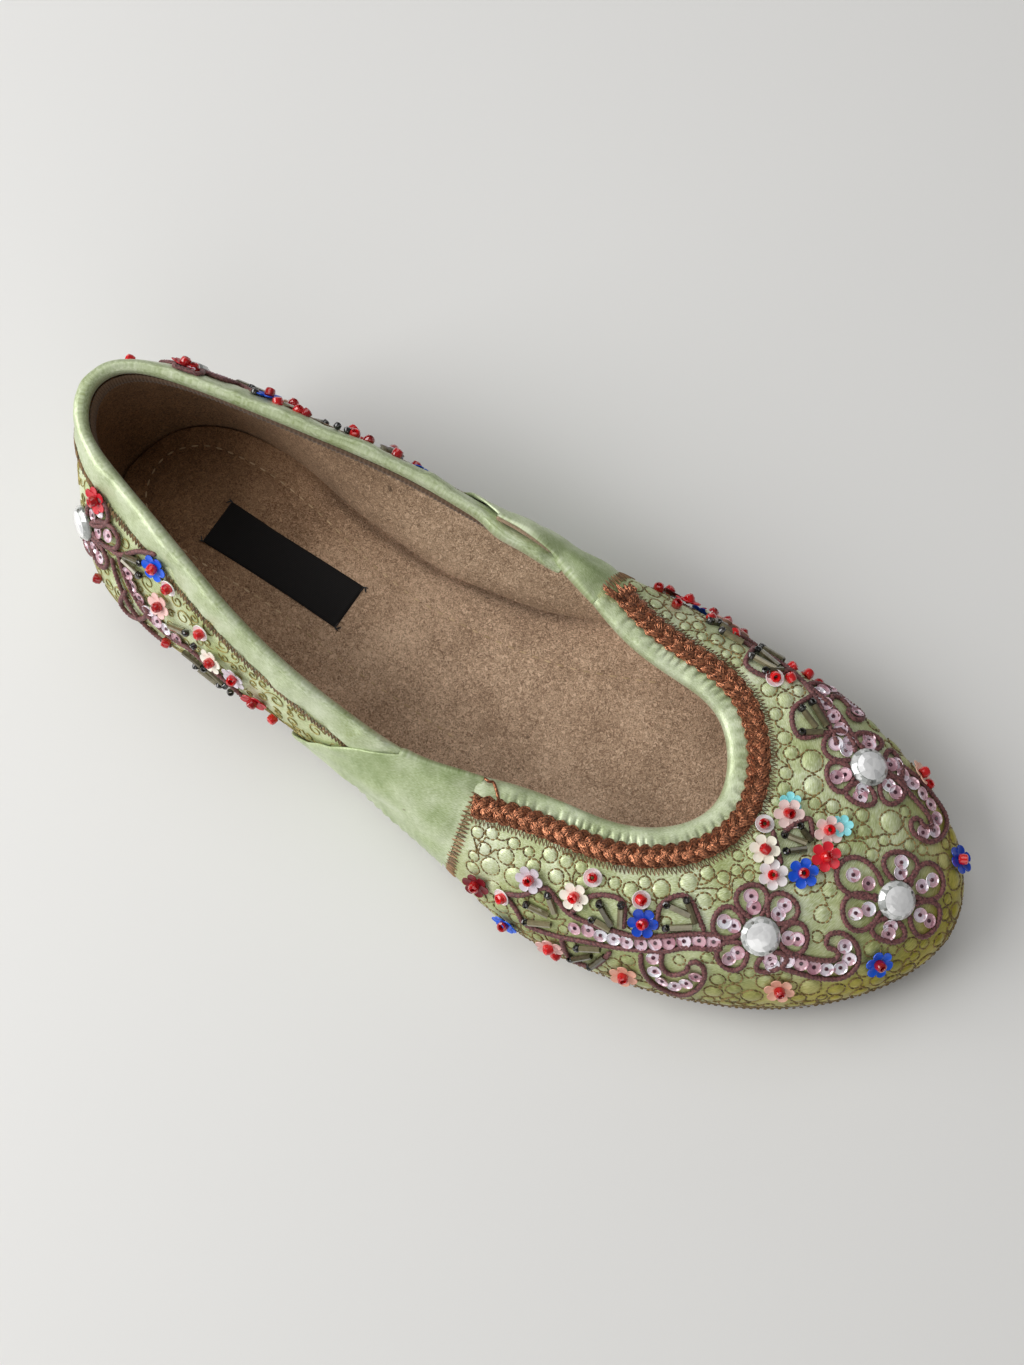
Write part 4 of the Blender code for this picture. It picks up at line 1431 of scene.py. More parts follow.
def ring_stitches():
    """Middles and headings of the stitches round every bubble."""
    chance = np.random.default_rng(QUILT_SEED + 1)
    middles = []
    ways = []
    for point, wide, out in zip(bubbles, bubble_size, bubble_out):
        across, upward = level_axes(out)
        squash = chance.uniform(0.90, 1.06)
        start = chance.uniform(0, 6.28)
        count = max(5, int(round(TURN * wide / STITCH_LONG)))
        turn = chance.uniform(1.0, 1.06)
        for i in range(count):
            angle = start + i * TURN * turn / count
            wobble = wide * (1 + chance.normal(0, 0.035))
            middles.append(point + wobble * (math.cos(angle) * across * squash + math.sin(angle) * upward))
            ways.append(-math.sin(angle) * across * squash + math.cos(angle) * upward)
    return np.array(middles), np.array(ways)


def stray_lines():
    """Stitches along short wavering lines that join neighbouring rings."""
    chance = np.random.default_rng(QUILT_SEED + 2)
    middles = []
    ways = []
    for i, point in enumerate(bubbles):
        near = [(away, j) for _, j, away in bubble_tree.find_range(point, STRAY_REACH) if j > i]
        for away, j in sorted(near)[:2]:
            gap = away - bubble_size[i] - bubble_size[j]
            if gap < STRAY_SHORTEST or chance.random() < STRAY_LEFT_OUT:
                continue
            way = (bubbles[j] - point) / away
            side = np.cross(way, bubble_out[i])
            first = point + way * bubble_size[i] + side * bubble_size[i] * 0.4
            last = bubbles[j] - way * bubble_size[j] - side * bubble_size[j] * 0.4
            waver = side * chance.normal(0, STRAY_WAVER)
            line = walk([first, (first + last) / 2 + waver, last], STITCH_LONG)
            middles.append((line[1:] + line[:-1]) / 2)
            ways.append(line[1:] - line[:-1])
    return np.vstack(middles), np.vstack(ways)


def on_cloth(points, outs, proud):
    """These points dropped onto the panel's quilted face and lifted off it by proud."""
    face = BVHTree.FromPolygons(
        [vert.co for vert in vamp.data.vertices], [tuple(polygon.vertices) for polygon in vamp.data.polygons]
    )
    placed = []
    for point, out in zip(points, outs):
        hit = face.ray_cast(Vector(point + out * 4 * MM), Vector(-out), 7 * MM)[0]
        placed.append(point if hit is None else np.array(hit) + out * proud)
    return np.array(placed)


ring_middles, ring_ways = ring_stitches()
stray_middles, stray_ways = stray_lines()
middles, outs = laid(np.vstack([ring_middles, stray_middles]), VAMP_OUT)
scatter(
    "quilt_stitches", spindle(4, 4),
    seat(
        on_cloth(middles, outs, QUILT_HIGH), outs, np.vstack([ring_ways, stray_ways]),
        (STITCH_LONG * STITCH_SHOW * 1.35, QUILT_THICK, QUILT_THICK),
    ),
    quilt_thread,
)


# ------------------------ Bindings
# A bias strip of satin rolled over the raw edge: wide and soft round the collar,
# narrower and gathered round the throat. Its inner edge is covered by a brown tape.
COLLAR_FROM = row_distance(7.12, "medial") - ALL_ROUND
COLLAR_TO = row_distance(6.95, "lateral")
THROAT_FROM = row_distance(7.45, "lateral")
THROAT_TO = row_distance(7.45, "medial")
COLLAR_ROLL = (
    # below the topline and proud of the wall, in mm, once round the rolled strip
    (2.3, -2.75), (1.0, -2.95), (-0.30, -2.65), (-0.95, -1.3), (-0.50, 0.15), (1.2, 0.62), (3.6, 0.60),
    (5.9, 0.50), (6.7, 0.2), (5.6, 0.0), (3.0, 0.05), (0.6, 0.0), (-0.1, -1.1), (0.6, -2.2), (2.0, -2.3),
)
THROAT_ROLL = (
    (2.0, -2.7), (0.9, -2.95), (-0.3, -2.7), (-1.0, -1.3), (-0.5, 0.30), (0.9, 0.95), (2.4, 1.05),
    (4.0, 0.85), (5.0, 0.45), (4.4, 0.2), (2.4, 0.2), (0.6, 0.2), (-0.15, -1.1), (0.6, -2.2), (1.8, -2.3),
)
COLLAR_LEAN = 2.6 * MM       # how far the inner wing presses the collar's edge in
COLLAR_LEAN_FROM = row_distance(7.2, "medial") - ALL_ROUND
COLLAR_LEAN_TO = row_distance(4.95, "medial") - ALL_ROUND
ROLL_SINK = 0.95 * MM        # how far a strip's ends sink under what covers them
ROLL_SINK_RUN = 13.0 * MM
ROLL_WAVES = (
    # width and height of its soft waves
    (14 * MM, 0.40 * MM), (5 * MM, 0.14 * MM),
)
ROLL_LOWEST = -0.16 * MM
COLLAR_GATHERS = (0.10 * MM, 7.0 * MM)    # how deep and how far apart
THROAT_GATHERS = (0.70 * MM, BRAID_SCALLOP * 1.15)
COLLAR_CREASES = (
    # soft wrinkles across the strip where it is eased round the sides
    ((-2, -21, 49), (1, -23, 44), 1.6, 0.55), ((12, -20, 47), (15, -25, 42), 2.2, -0.55),
    ((22, -26, 44), (20, -28, 39), 1.5, 0.55), ((33, -28, 42), (31, -31, 37), 2.0, 0.60),
    ((39, -29, 41), (38, -32, 36), 1.5, -0.55), ((50, -30, 39), (47, -33, 34), 2.0, 0.55),
    ((4, 22, 49), (6, 25, 45), 2.0, 0.50), ((20, 26, 45), (18, 28, 40), 1.8, -0.55),
    ((36, 29, 41), (33, 31, 37), 2.2, 0.55), ((-24, -8, 53), (-27, -9, 48), 2.5, 0.50),
)
binding_satin = satin_finish(
    "binding_satin", (0.31, 0.38, 0.155), (0.50, 0.575, 0.34), (0.69, 0.75, 0.54), blotch=110.0
)


def leaned_in(distance, below):
    """How far a place on the collar's strip is moved in over the foot, as a vector."""
    pressed = np.clip((distance - COLLAR_LEAN_FROM) / (COLLAR_LEAN_TO - COLLAR_LEAN_FROM), 0, 1)
    lean = COLLAR_LEAN * np.sin(math.pi * pressed**0.5) * ease((5 * MM - below) / (6 * MM))
    return -plan_normal(distance, 6)[:, :3] * lean[:, None]


def round_profile(points, count):
    """count places and one more, evenly spread round a closed smooth curve through these points."""
    points = np.array(points, float)
    before, after, after2 = (np.roll(points, shift, axis=0) for shift in (1, -1, -2))
    fine = [bend(before, points, after, after2, t) for t in np.arange(0, 1, 0.05)]
    ring = np.stack(fine, axis=1).reshape(-1, points.shape[1])
    return evenly(np.vstack([ring, ring[:1]]), count + 1)


def lay_roll(first, last, profile, rows, gather, pitch, wrinkles, seed):
    """A rolled strip from first to last, puckered at its lower edge, whose ends sink out of sight."""
    ring = round_profile(np.array(profile) * MM, rows)
    lower = ring[:, 0].max()

    def lay(u, v):
        distance = first + (last - first) * u
        at = np.round(v * rows).astype(int)
        below, proud = ring[at, 0], ring[at, 1]
        outer = ease((proud + 0.9 * MM) / (1.1 * MM))
        from_end = np.minimum(u, 1 - u) * (last - first)
        sunk = 1 - ease(from_end / ROLL_SINK_RUN)
        phase = distance * TURN / pitch + 1.5 * np.sin(distance * TURN / 0.023)
        depth = 0.70 + 0.30 * np.sin(distance * TURN / 0.047 + seed)
        pinch = (0.5 + 0.5 * np.cos(phase)) ** 2.4 * depth * ease((below / lower - 0.18) / 0.6)
        pinch *= ease((from_end - 6 * MM) / (14 * MM))
        points = on_wall(distance, below, proud - ROLL_SINK * sunk * outer)
        soft = sum(rippled(points, wide, seed + i) * high for i, (wide, high) in enumerate(ROLL_WAVES))
        soft = np.maximum(soft, ROLL_LOWEST)
        soft += creases(points, wrinkles) - gather * pinch
        points += leaned_in(distance, below)
        points += out_of_wall(distance, below) * (soft * outer)[:, None]
        return points, np.stack([distance, below], axis=1)

    return lay


grid_piece(
    "collar_binding", 420, 30,
    lay_roll(COLLAR_FROM, COLLAR_TO, COLLAR_ROLL, 30, *COLLAR_GATHERS, COLLAR_CREASES, 41),
    binding_satin,
)
grid_piece(
    "throat_binding", 560, 30,
    lay_roll(THROAT_FROM, THROAT_TO, THROAT_ROLL, 30, *THROAT_GATHERS, (), 51),
    binding_satin,
)
TAPE_FROM = 2.2 * MM
TAPE_WIDE = 2.9 * MM
TAPE_THICK = 1.0 * MM
TAPE_OFF = 1.05 * MM        # its middle, in from the upper's inside
TAPE_RIB = 1.2 * MM
TAPE_RIB_HIGH = 0.16 * MM
TAPE_FLARE = 1.0 * MM       # how far its free edge stands off the lining
tape_cloth = thread_finish("binding_tape", (0.135, 0.076, 0.040), (0.30, 0.195, 0.125), 0.85)


def lay_tape(u, v):
    distance = COLLAR_FROM + (COLLAR_TO - COLLAR_FROM) * u
    angle = v * TURN
    below = TAPE_FROM + TAPE_WIDE / 2 * (1 - np.cos(angle))
    rib = TAPE_RIB_HIGH * np.sin(TURN * (distance / TAPE_RIB + 0.25 * np.cos(angle)))
    proud = -UPPER_WALL - TAPE_OFF - (TAPE_THICK / 2 + rib) * np.sin(angle)
    proud -= TAPE_FLARE * (1 - np.cos(angle)) / 2
    points = on_wall(distance, below, proud) + leaned_in(distance, np.full(len(distance), 2.0 * MM))
    return points, np.stack([distance, below], axis=1)


grid_piece("binding_tape", 1300, 8, lay_tape, tape_cloth)


def trim_line(first, last, below):
    """A line at one depth: its length, and distance round the shoe as a function of its run."""
    distance = np.linspace(first, last, 900)
    run = run_along(on_wall(distance, below, 0.0))
    return run[-1], lambda at: np.interp(at, run, distance)


def zigzag(name, corners, finish, thick):
    """Straight threads from corner to corner."""
    points, outs = corners
    ways = points[1:] - points[:-1]
    sizes = np.full((len(ways), 3), thick)
    sizes[:, 0] = np.linalg.norm(ways, axis=1) * 1.12
    scatter(name, spindle(4, 4), seat((points[1:] + points[:-1]) / 2, outs[1:], ways, sizes), finish)


def zigzag_corners(first, last, below, half, pitch, proud, uneven, seed):
    """Corners of a zigzag along one depth, half as wide as it swings, a little uneven."""
    long, distance_at = trim_line(first, last, below)
    chance = np.random.default_rng(seed)
    at = np.arange(0, long, pitch / 2)
    side = np.where(np.arange(len(at)) % 2 == 0, -1.0, 1.0)
    depth = below + side * half * (1 + chance.normal(0, uneven, len(at)))
    distance = distance_at(at + chance.normal(0, uneven * pitch * 0.3, len(at)))
    return on_wall(distance, depth, proud), out_of_wall(distance, depth)


# Below the collar's binding the strip is caught down with a narrow gold zigzag.
GOLD_BELOW = 7.7 * MM
GOLD_HALF = 1.15 * MM
GOLD_PITCH = 1.05 * MM
GOLD_HIGH = 0.60 * MM
GOLD_THICK = 0.52 * MM
gold_thread = thread_finish(
    "gold_thread", (0.105, 0.055, 0.018), (0.36, 0.215, 0.085), 0.45, metallic=0.2
)
zigzag(
    "collar_zigzag",
    zigzag_corners(COLLAR_FROM, COLLAR_TO, GOLD_BELOW, GOLD_HALF, GOLD_PITCH, GOLD_HIGH, 0.12, 61),
    gold_thread, GOLD_THICK,
)


# ------------------------ Scroll embroidery
# The quarter's satin is covered from wing to wing with little curls of gold
# thread, each one a spiral that runs out into a tail.
SCROLL_TRIES = 5200
SCROLL_SMALL = 1.35 * MM
SCROLL_LARGE = 3.0 * MM
SCROLL_THICK = 0.36 * MM
SCROLL_STEP = 0.5 * MM
SCROLL_FROM = 9.6 * MM      # below the topline, where they start under the collar's strip
SCROLL_CLEAR = 12.0 * MM    # of the wall's depth is left without them, above and below
SCROLL_TURNS = 1.35
SCROLL_HIGH = QUARTER_OUT + 0.10 * MM


def laid_lines(lines, proud):
    """Each of these lines laid on the wall, as its points and its outward normals."""
    place, out = laid(np.vstack(lines), proud)
    cuts = np.cumsum([len(line) for line in lines])[:-1]
    return list(zip(np.split(place, cuts), np.split(out, cuts)))


def tubes(name, paths, sides, thick, finish, ply=0.0, pitch=1.0, flat=1.0):
    """Round threads, one along each (points, outward normals), drawn to a point at both ends.
    ply is how deep the twist of two plies cuts, and pitch the length of one turn."""
    place = np.vstack([path[0] for path in paths])
    out = np.vstack([path[1] for path in paths])
    counts = np.array([len(path[0]) for path in paths])
    lasts = np.cumsum(counts) - 1
    firsts = lasts - counts + 1
    way = np.vstack([np.gradient(path[0], axis=0) for path in paths])
    way /= np.maximum(np.linalg.norm(way, axis=1, keepdims=True), 1e-9)
    side = np.cross(out, way)
    side /= np.maximum(np.linalg.norm(side, axis=1, keepdims=True), 1e-9)
    run = run_along(place)
    width = np.full(len(place), thick / 2)
    width[firsts] = 0.0
    width[lasts] = 0.0
    inner = np.concatenate([firsts + 1, lasts - 1])
    width[inner] *= 0.75

    def lay(u, v):
        i = np.round(u * (len(place) - 1)).astype(int)
        angle = v * TURN
        twist = 1.0 - ply * (0.5 + 0.5 * np.cos(2 * (angle - run[i] * TURN / pitch)))
        reach = (width[i] * twist)[:, None]
        sideways = side[i] * np.cos(angle)[:, None] + out[i] * flat * np.sin(angle)[:, None]
        return place[i] + reach * sideways, np.stack([run[i], angle * thick / 2], axis=1)

    grid_piece(name, len(place) - 1, sides, lay, finish, gaps=lasts[:-1], sharp=70)


def scrolls():
    """Spirals thrown at random on the quarter where there is room, each drawn out into a tail."""
    chance = np.random.default_rng(71)
    first = row_distance(6.9, "medial") - ALL_ROUND
    last = row_distance(6.9, "lateral")
    share, down, fat, start, hand = chance.random((5, SCROLL_TRIES))
    distance = first + (last - first) * share
    depth = wall_depth(distance)
    below = SCROLL_FROM + (depth - SCROLL_CLEAR) * down
    points = on_wall(distance, below, 0.0)
    out = out_of_wall(distance, below)
    kept = []
    size = []
    paths = []
    for i, point in enumerate(points):
        most = SCROLL_SMALL + (SCROLL_LARGE - SCROLL_SMALL) * fat[i]
        if kept:
            most = min(most, (np.linalg.norm(np.array(kept) - point, axis=1) - np.array(size)).min())
        if most < SCROLL_SMALL:
            continue
        kept.append(point)
        size.append(most)
        across, upward = level_axes(out[i])
        angle = np.linspace(0, TURN * SCROLL_TURNS, 17)
        turn = 1 if hand[i] > 0.5 else -1
        reach = most * (0.28 + 0.66 * angle / angle[-1])
        reach[-2:] *= (1.15, 1.42)
        way = start[i] * 6.28 + angle * turn
        line = point + reach[:, None] * (np.cos(way)[:, None] * across + np.sin(way)[:, None] * upward)
        paths.append(walk(line, SCROLL_STEP))
    return laid_lines(paths, SCROLL_HIGH)


def cord_group():
    """The slow change of tone along a cord, from a flat map of its run in metres."""
    group, given, result = new_group(
        "cord_run", (("Run", "Vector"), ("Stretch", "Vector")), (("Change", "Float"),)
    )
    spread = add_node(group, "VectorMath", operation="MULTIPLY")
    change = add_node(group, "TexNoise", {"Scale": 1.0, "Detail": 2.0})
    wire(
        group, (given, "Run", spread, 0), (given, "Stretch", spread, 1),
        (spread, "Vector", change, "Vector"), (change, "Fac", result, "Change"),
    )
    return group


CORD_RUN = cord_group()


def cord_finish(name, dark, light, roughness, metallic, piece=5.0 * MM, sheen=0.1):
    """Spun cord: its tone changes along its run, over fine plies. Where piece is short, these changes are
    painted shade of the plies and painted glints.
    """
    made, tree, shader = new_finish(name, {
        "Roughness": roughness, "Metallic": metallic, "Sheen Weight": sheen,
    })
    run = add_node(tree, "UVMap", uv_map="cloth")
    group = add_node(tree, "Group", {"Stretch": (1.0 / piece, 900.0, 1.0)}, node_tree=CORD_RUN)
    fleck = add_fleck(tree, (group, "Change"), 2400.0, 0.55)
    tone = add_ramp(tree, ((0.36, dark), (0.62, light)))
    wire(tree, (run, "UV", group, "Run"), (fleck, "Tone", tone, "Fac"))
    dress(tree, shader, (tone, "Color"), (fleck, "Height"), 0.7, 0.00015)
    return made


scroll_thread = cord_finish("scroll_thread", (0.16, 0.13, 0.025), (0.46, 0.37, 0.12), 0.45, 0.2)
tubes("scroll_embroidery", scrolls(), 5, SCROLL_THICK, scroll_thread)


# ------------------------ Side wings
# A loose satin panel each side, sewn into the vamp panel's seam. It crosses over
# the quarter to a soft rolled fold, and its top edge is bound and rolls over the
# topline. On the inner side the fold stands clear of the collar for a stretch.
WINGS = {
    # side: the fold's row at each rise, rows of the seam at the sole and at the topline, and between
    # which rows the top edge rolls over the topline
    "lateral": (
        ((0.0, 5.05), (0.13, 5.13), (0.30, 5.34), (0.51, 5.62), (0.76, 6.05), (0.90, 6.38), (1.0, 6.72),
         (1.1, 7.0)),
        7.22, 7.67, 6.50, 6.80,
    ),
    "medial": (
        ((0.0, 4.80), (0.35, 5.10), (0.70, 5.48), (0.86, 5.72), (0.95, 5.95), (1.0, 6.15), (1.1, 6.45)),
        7.17, 7.64, 6.85, 7.22,
    ),
}
WING_STAND = {"lateral": 0.35 * MM, "medial": 0.3 * MM}     # how far the fold stands off what it crosses
WING_EYE = {"lateral": 0.0, "medial": 0.9 * MM}             # and how far the edge bows out past the collar
WING_ROLL = {"lateral": 0.0, "medial": 0.8 * MM}            # how much thicker the edge is there
WING_UP_SHARE = 0.80        # of the rows, the rest turn over the topline
WING_TURN_SHARE = 0.93
WING_FOLD_THICK = 0.95 * MM
WING_CLOTH_THICK = 0.6 * MM
WING_FOLD_ROUND = 1.8 * MM
WING_FLAP = 2.6 * MM
WING_FULL = 3.5 * MM        # over which the fold's roundness dies away
WING_WAVES = (
    # width and height of its soft waves
    (17 * MM, 0.30 * MM), (5 * MM, 0.12 * MM),
)
WING_LOWEST = -0.45 * MM
WING_OVER_STRIP = 0.40 * MM
WING_FOOT_SWELL = 0.35 * MM
WING_PUCKER_DEEP = 1.1 * MM
WING_CREASES = {
    "lateral": (
        # drag lines that run from the fold's foot up to the seam, and the hollow beside the seam
        ((56, -36, 12), (72, -36, 17), (90, -33, 25), 3.0, 1.1),
        ((60, -37, 9), (78, -38, 12), (96, -36, 19), 3.2, -0.95),
        ((70, -38, 8), (88, -40, 10), (104, -38, 18), 2.6, 0.85),
        ((74, -33, 28), (90, -30, 29), (101, -28, 28), 3.0, -0.75),
        ((64, -36, 21), (78, -34, 25), (94, -31, 28), 2.4, 0.7),
        ((100, -37, 22), (103, -39, 14), (105, -40, 8), 2.6, -0.9),
    ),
    "medial": (
        ((64, 33, 30), (82, 34, 29), (98, 33, 29), 3.0, 0.55),
        ((60, 34, 20), (80, 37, 20), (100, 37, 24), 3.4, -0.60),
        ((66, 35, 12), (86, 40, 12), (104, 40, 18), 3.0, 0.50),
        ((104, 37, 22), (106, 39, 14), 2.8, -0.50),
    ),
}
WING_PUCKER_FROM = 0.066    # the foot is puckered where the whip stitches are, from here to the seam
WING_PUCKER = 2.7 * MM
wing_satin = satin_finish(
    "wing_satin", (0.25, 0.34, 0.12), (0.46, 0.55, 0.29), (0.70, 0.77, 0.54), blotch=75.0
)


def lay_wing(side, fold_line, seam_low, seam_high, roll_from, roll_to, seed):
    """u runs out from the fold to the seam and back inside, v up the wall and over the topline."""
    fold_line = np.array(fold_line)

    def lay(u, v):
        v = np.asarray(v, float)
        outer = u <= 0.5
        share = np.where(outer, u * 2, (1 - u) * 2) ** 1.35     # closer rows near the fold
        up = np.clip(v / WING_UP_SHARE, 0, 1)
        turn = np.clip((v - WING_UP_SHARE) / (WING_TURN_SHARE - WING_UP_SHARE), 0, 1) * math.pi
        flap = np.clip((v - WING_TURN_SHARE) / (1 - WING_TURN_SHARE), 0, 1)
        climb = 0.004 + 0.996 * up**0.85
        nearby = (-0.06, -0.03, 0.0, 0.03, 0.06)
        fold = sum(np.interp(climb + step, fold_line[:, 0], fold_line[:, 1]) for step in nearby) / 5
        seam = seam_low + (seam_high - seam_low) * up
        row = fold + (seam - fold) * share
        distance = row_distance(row, side)
        wide = np.abs(row_distance(seam, side) - row_distance(fold, side))
        from_fold = share * wide
        from_seam = (1 - share) * wide
        round_off = np.sqrt(1 - (1 - np.clip(from_fold / WING_FOLD_ROUND, 0, 1)) ** 2)
        fuller = np.exp(-((from_fold / WING_FULL) ** 2))
        thick = WING_CLOTH_THICK + (WING_FOLD_THICK - WING_CLOTH_THICK) * fuller
        thick *= 0.45 + 0.55 * ease(from_seam / (4 * MM))
        if side == "lateral":
            thick *= 1 - 0.5 * ease((up - 0.7) / 0.3)
        # low: how far off the wall; stand: how much more over what it crosses and over the collar's strip
        low = 0.15 * MM + 0.30 * MM * ease(from_seam / (5 * MM)) * ease((1 - up) / 0.2)
        stand = WING_STAND[side] * np.exp(-from_fold / (9 * MM)) * np.sin(up * math.pi) ** 0.8
        on_collar = ease((up - 0.72) / 0.2) * ease(from_seam / (9 * MM))
        stand = stand + WING_OVER_STRIP * on_collar
        top_row = fold_line[-2, 1]
        bow = np.clip((row - top_row) / (roll_from + 0.15 - top_row), 0, 1)
        thick = thick + WING_ROLL[side] * np.sin(bow * math.pi) * ease((up - 0.75) / 0.25)
        stand = stand + WING_EYE[side] * np.sin(bow * math.pi) ** 1.2 * ease((up - 0.45) / 0.5)
        reach = low + stand + thick / 2 * (1 + np.where(outer, 1, -1) * round_off)
        # where it rolls over: round the topline and down inside; where it doesn't: a rounded double edge
        rolled = ease((row - roll_from) / (roll_to - roll_from))
        inside = UPPER_WALL + 0.15 * MM + np.minimum(reach, 1.1 * MM)
        radius = (reach + inside) / 2
        rolled_below = -0.7 * radius * np.sin(turn) + flap * WING_FLAP
        rolled_proud = (reach - inside) / 2 + radius * np.cos(turn)
        edge_middle = low + stand + thick / 2
        edge_below = -0.75 * thick * np.sin(turn / 2) - WING_EYE[side] * 0.25 * np.sin(bow * math.pi)
        edge_proud = edge_middle + (reach - edge_middle) * np.cos(turn / 2)
        over = v > WING_UP_SHARE
        below = np.where(over, rolled_below * rolled + edge_below * (1 - rolled), 0.0)
        proud = np.where(over, rolled_proud * rolled + edge_proud * (1 - rolled), reach)
        rise = np.where(over, rise_below(distance, below), climb)
        out = wall_normal(distance, rise)
        points = wall_point(distance, rise) + proud[:, None] * out
        (wide, high), (fine, low_high) = WING_WAVES
        drag = rippled(points * (1.0, 2.2, 2.2), wide, seed) * high
        drag += rippled(points, fine, seed + 1) * low_high + creases(points, WING_CREASES[side])
        drag *= (np.sin(np.clip(v / 0.95, 0, 1) * math.pi) ** 0.5) * ease(from_seam / (3 * MM))
        drag = np.maximum(drag, WING_LOWEST)
        pucker = 0.5 + 0.5 * np.cos(distance * TURN / WING_PUCKER)
        pucker *= np.exp(-up / 0.15) * ease((points[:, 0] - WING_PUCKER_FROM) / (8 * MM))
        pucker *= 0.35 + 0.65 * ease(from_seam / (2 * MM))
        drag += WING_FOOT_SWELL * np.exp(-up / 0.2) - WING_PUCKER_DEEP * pucker
        points += out * drag[:, None]
        return points, np.stack([from_fold, up * 0.04], axis=1)

    return lay


for seed, (side, ends) in enumerate(WINGS.items()):
    wing = grid_piece(
        "side_wing_" + side, 170, 80, lay_wing(side, *ends, 81 + seed * 2), wing_satin
    )
    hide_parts("wing_" + side)

# The inner wing's edge has its own taupe tape, which shows where the edge bows out.
WING_TAPE_THICK = 1.5 * MM
tape_row = np.linspace(6.12, 6.92, 40)
tape_bow = np.sin(np.clip((tape_row - 6.05) / 0.95, 0, 1) * math.pi)
tape_distance = row_distance(tape_row, "medial")
tape_out = wall_normal(tape_distance, np.full(40, 0.97))
tape_place = on_wall(tape_distance, 0.9 * MM - 1.2 * MM * tape_bow, -0.5 * MM + 1.1 * MM * tape_bow)
tubes(
    "wing_tape", [(tape_place, tape_out)], 8, WING_TAPE_THICK,
    cord_finish("wing_tape", (0.20, 0.13, 0.08), (0.42, 0.30, 0.20), 0.85, 0.0),
)

# Whip stitches catch each wing's foot to the sole's edge.
WHIP_ROWS = (("lateral", 6.3, 7.2), ("medial", 6.3, 7.1))
WHIP_APART = 0.14           # of a row
WHIP_STITCH = (2.6 * MM, 0.34 * MM, 0.34 * MM)
WHIP_HIGH = 1.25 * MM
WHIP_SLANT = 1.2 * MM
celery_thread = thread_finish("celery_thread", (0.50, 0.56, 0.34), (0.78, 0.84, 0.62), 0.5)
whip_at = np.concatenate([
    row_distance(np.arange(first, last, WHIP_APART), side) for side, first, last in WHIP_ROWS
])
whip_rise = np.full(len(whip_at), 0.035)
whip_feet = wall_point(whip_at, whip_rise)
whip_outs = wall_normal(whip_at, whip_rise)
whip_ways = wall_point(whip_at + WHIP_SLANT, whip_rise + 0.05) - whip_feet
scatter(
    "whip_stitches", spindle(5, 5),
    seat(whip_feet + whip_outs * WHIP_HIGH, whip_outs, whip_ways, WHIP_STITCH), celery_thread,
)


# ------------------------ Copper braid
# A flat plait of three bundles of crinkled copper thread, laid round the throat
# against the binding. It starts blunt on the outer side and frays out on the inner.
BRAID_FROM = row_distance(7.66, "lateral") - 1.4 * MM
BRAID_TO = row_distance(7.72, "medial")
BRAID_STRANDS = 3
BRAID_THREADS = 8           # in each strand
BRAID_STRAND_WIDE = 2.3 * MM
BRAID_THREAD_THICK = 0.44 * MM
BRAID_STEP = 0.42 * MM
BRAID_BED = 0.55 * MM
BRAID_LIFT = 0.75 * MM      # the strands' middle height, how far they cross over, and each one's arch
BRAID_OVER = 0.42 * MM
BRAID_ARCH = 0.34 * MM
BRAID_BLUNT = 2.2 * MM      # over which its near end narrows
BRAID_CRINKLES = (
    # depth and length of the waves in a thread
    (0.12 * MM, 1.5 * MM), (0.08 * MM, 0.9 * MM),
)
# The short changes of tone along each thread are painted glints and painted shade of the crinkled copper.
copper_braid = cord_finish(
    "copper_braid", (0.050, 0.014, 0.006), (0.60, 0.235, 0.115), 0.28, 0.7, piece=0.9 * MM
)
braid_long, braid_distance = trim_line(BRAID_FROM, BRAID_TO, BRAID_MIDDLE)


def on_braid(run, across, high):
    """Points this far along the plait, across it and up off the panel, and the outward normals there."""
    distance = braid_distance(run)
    below = BRAID_MIDDLE + across
    return on_wall(distance, below, VAMP_OUT + high), out_of_wall(distance, below)


def braid_strands():
    """Each strand swings from side to side and over the others; its threads lie side by side across it."""
    chance = np.random.default_rng(91)
    turn = TURN / (BRAID_STRANDS * BRAID_SCALLOP)
    run = np.arange(0.0, braid_long - 1.0 * MM, BRAID_STEP)
    swing = (BRAID_WIDE - BRAID_STRAND_WIDE) / 2
    blunt = np.sqrt(np.clip(1 - (1 - np.clip(run / BRAID_BLUNT, 0, 1)) ** 2, 0, 1)) * 0.75 + 0.25
    paths = []
    for strand in range(BRAID_STRANDS):
        phase = run * turn + strand * TURN / BRAID_STRANDS
        slope = swing * turn * np.cos(phase)
        lean = np.sqrt(1 + slope**2)
        for thread in range(BRAID_THREADS):
            offset = (thread / (BRAID_THREADS - 1) - 0.5) * (BRAID_STRAND_WIDE - BRAID_THREAD_THICK)
            crinkle = sum(
                deep * np.sin(run * TURN / long + chance.uniform(0, 6.28, 1)) for deep, long in BRAID_CRINKLES
            )
            across = (swing * np.sin(phase) + (offset + crinkle) / lean) * blunt
            along = run - (offset + crinkle) * slope / lean
            arch = (1 - (2 * offset / BRAID_STRAND_WIDE) ** 2) * BRAID_ARCH
            high = BRAID_LIFT + BRAID_OVER * np.sin(2 * phase) + arch + chance.normal(0, 0.03 * MM)
            paths.append(on_braid(np.maximum(along, 0.1 * MM), across, high * (0.5 + 0.5 * blunt)))
    return paths


tubes("copper_braid", braid_strands(), 5, BRAID_THREAD_THICK, copper_braid)


def lay_braid_bed(u, v):
    angle = v * TURN
    run = u * braid_long
    across = -np.cos(angle) * BRAID_WIDE * 0.44
    high = np.where(np.sin(angle) > 0, BRAID_BED * np.sin(angle) ** 0.7, -0.1 * MM)
    return on_braid(run, across, high)[0], np.stack([run, across], axis=1)


grid_piece("braid_bed", 360, 12, lay_braid_bed, copper_braid)

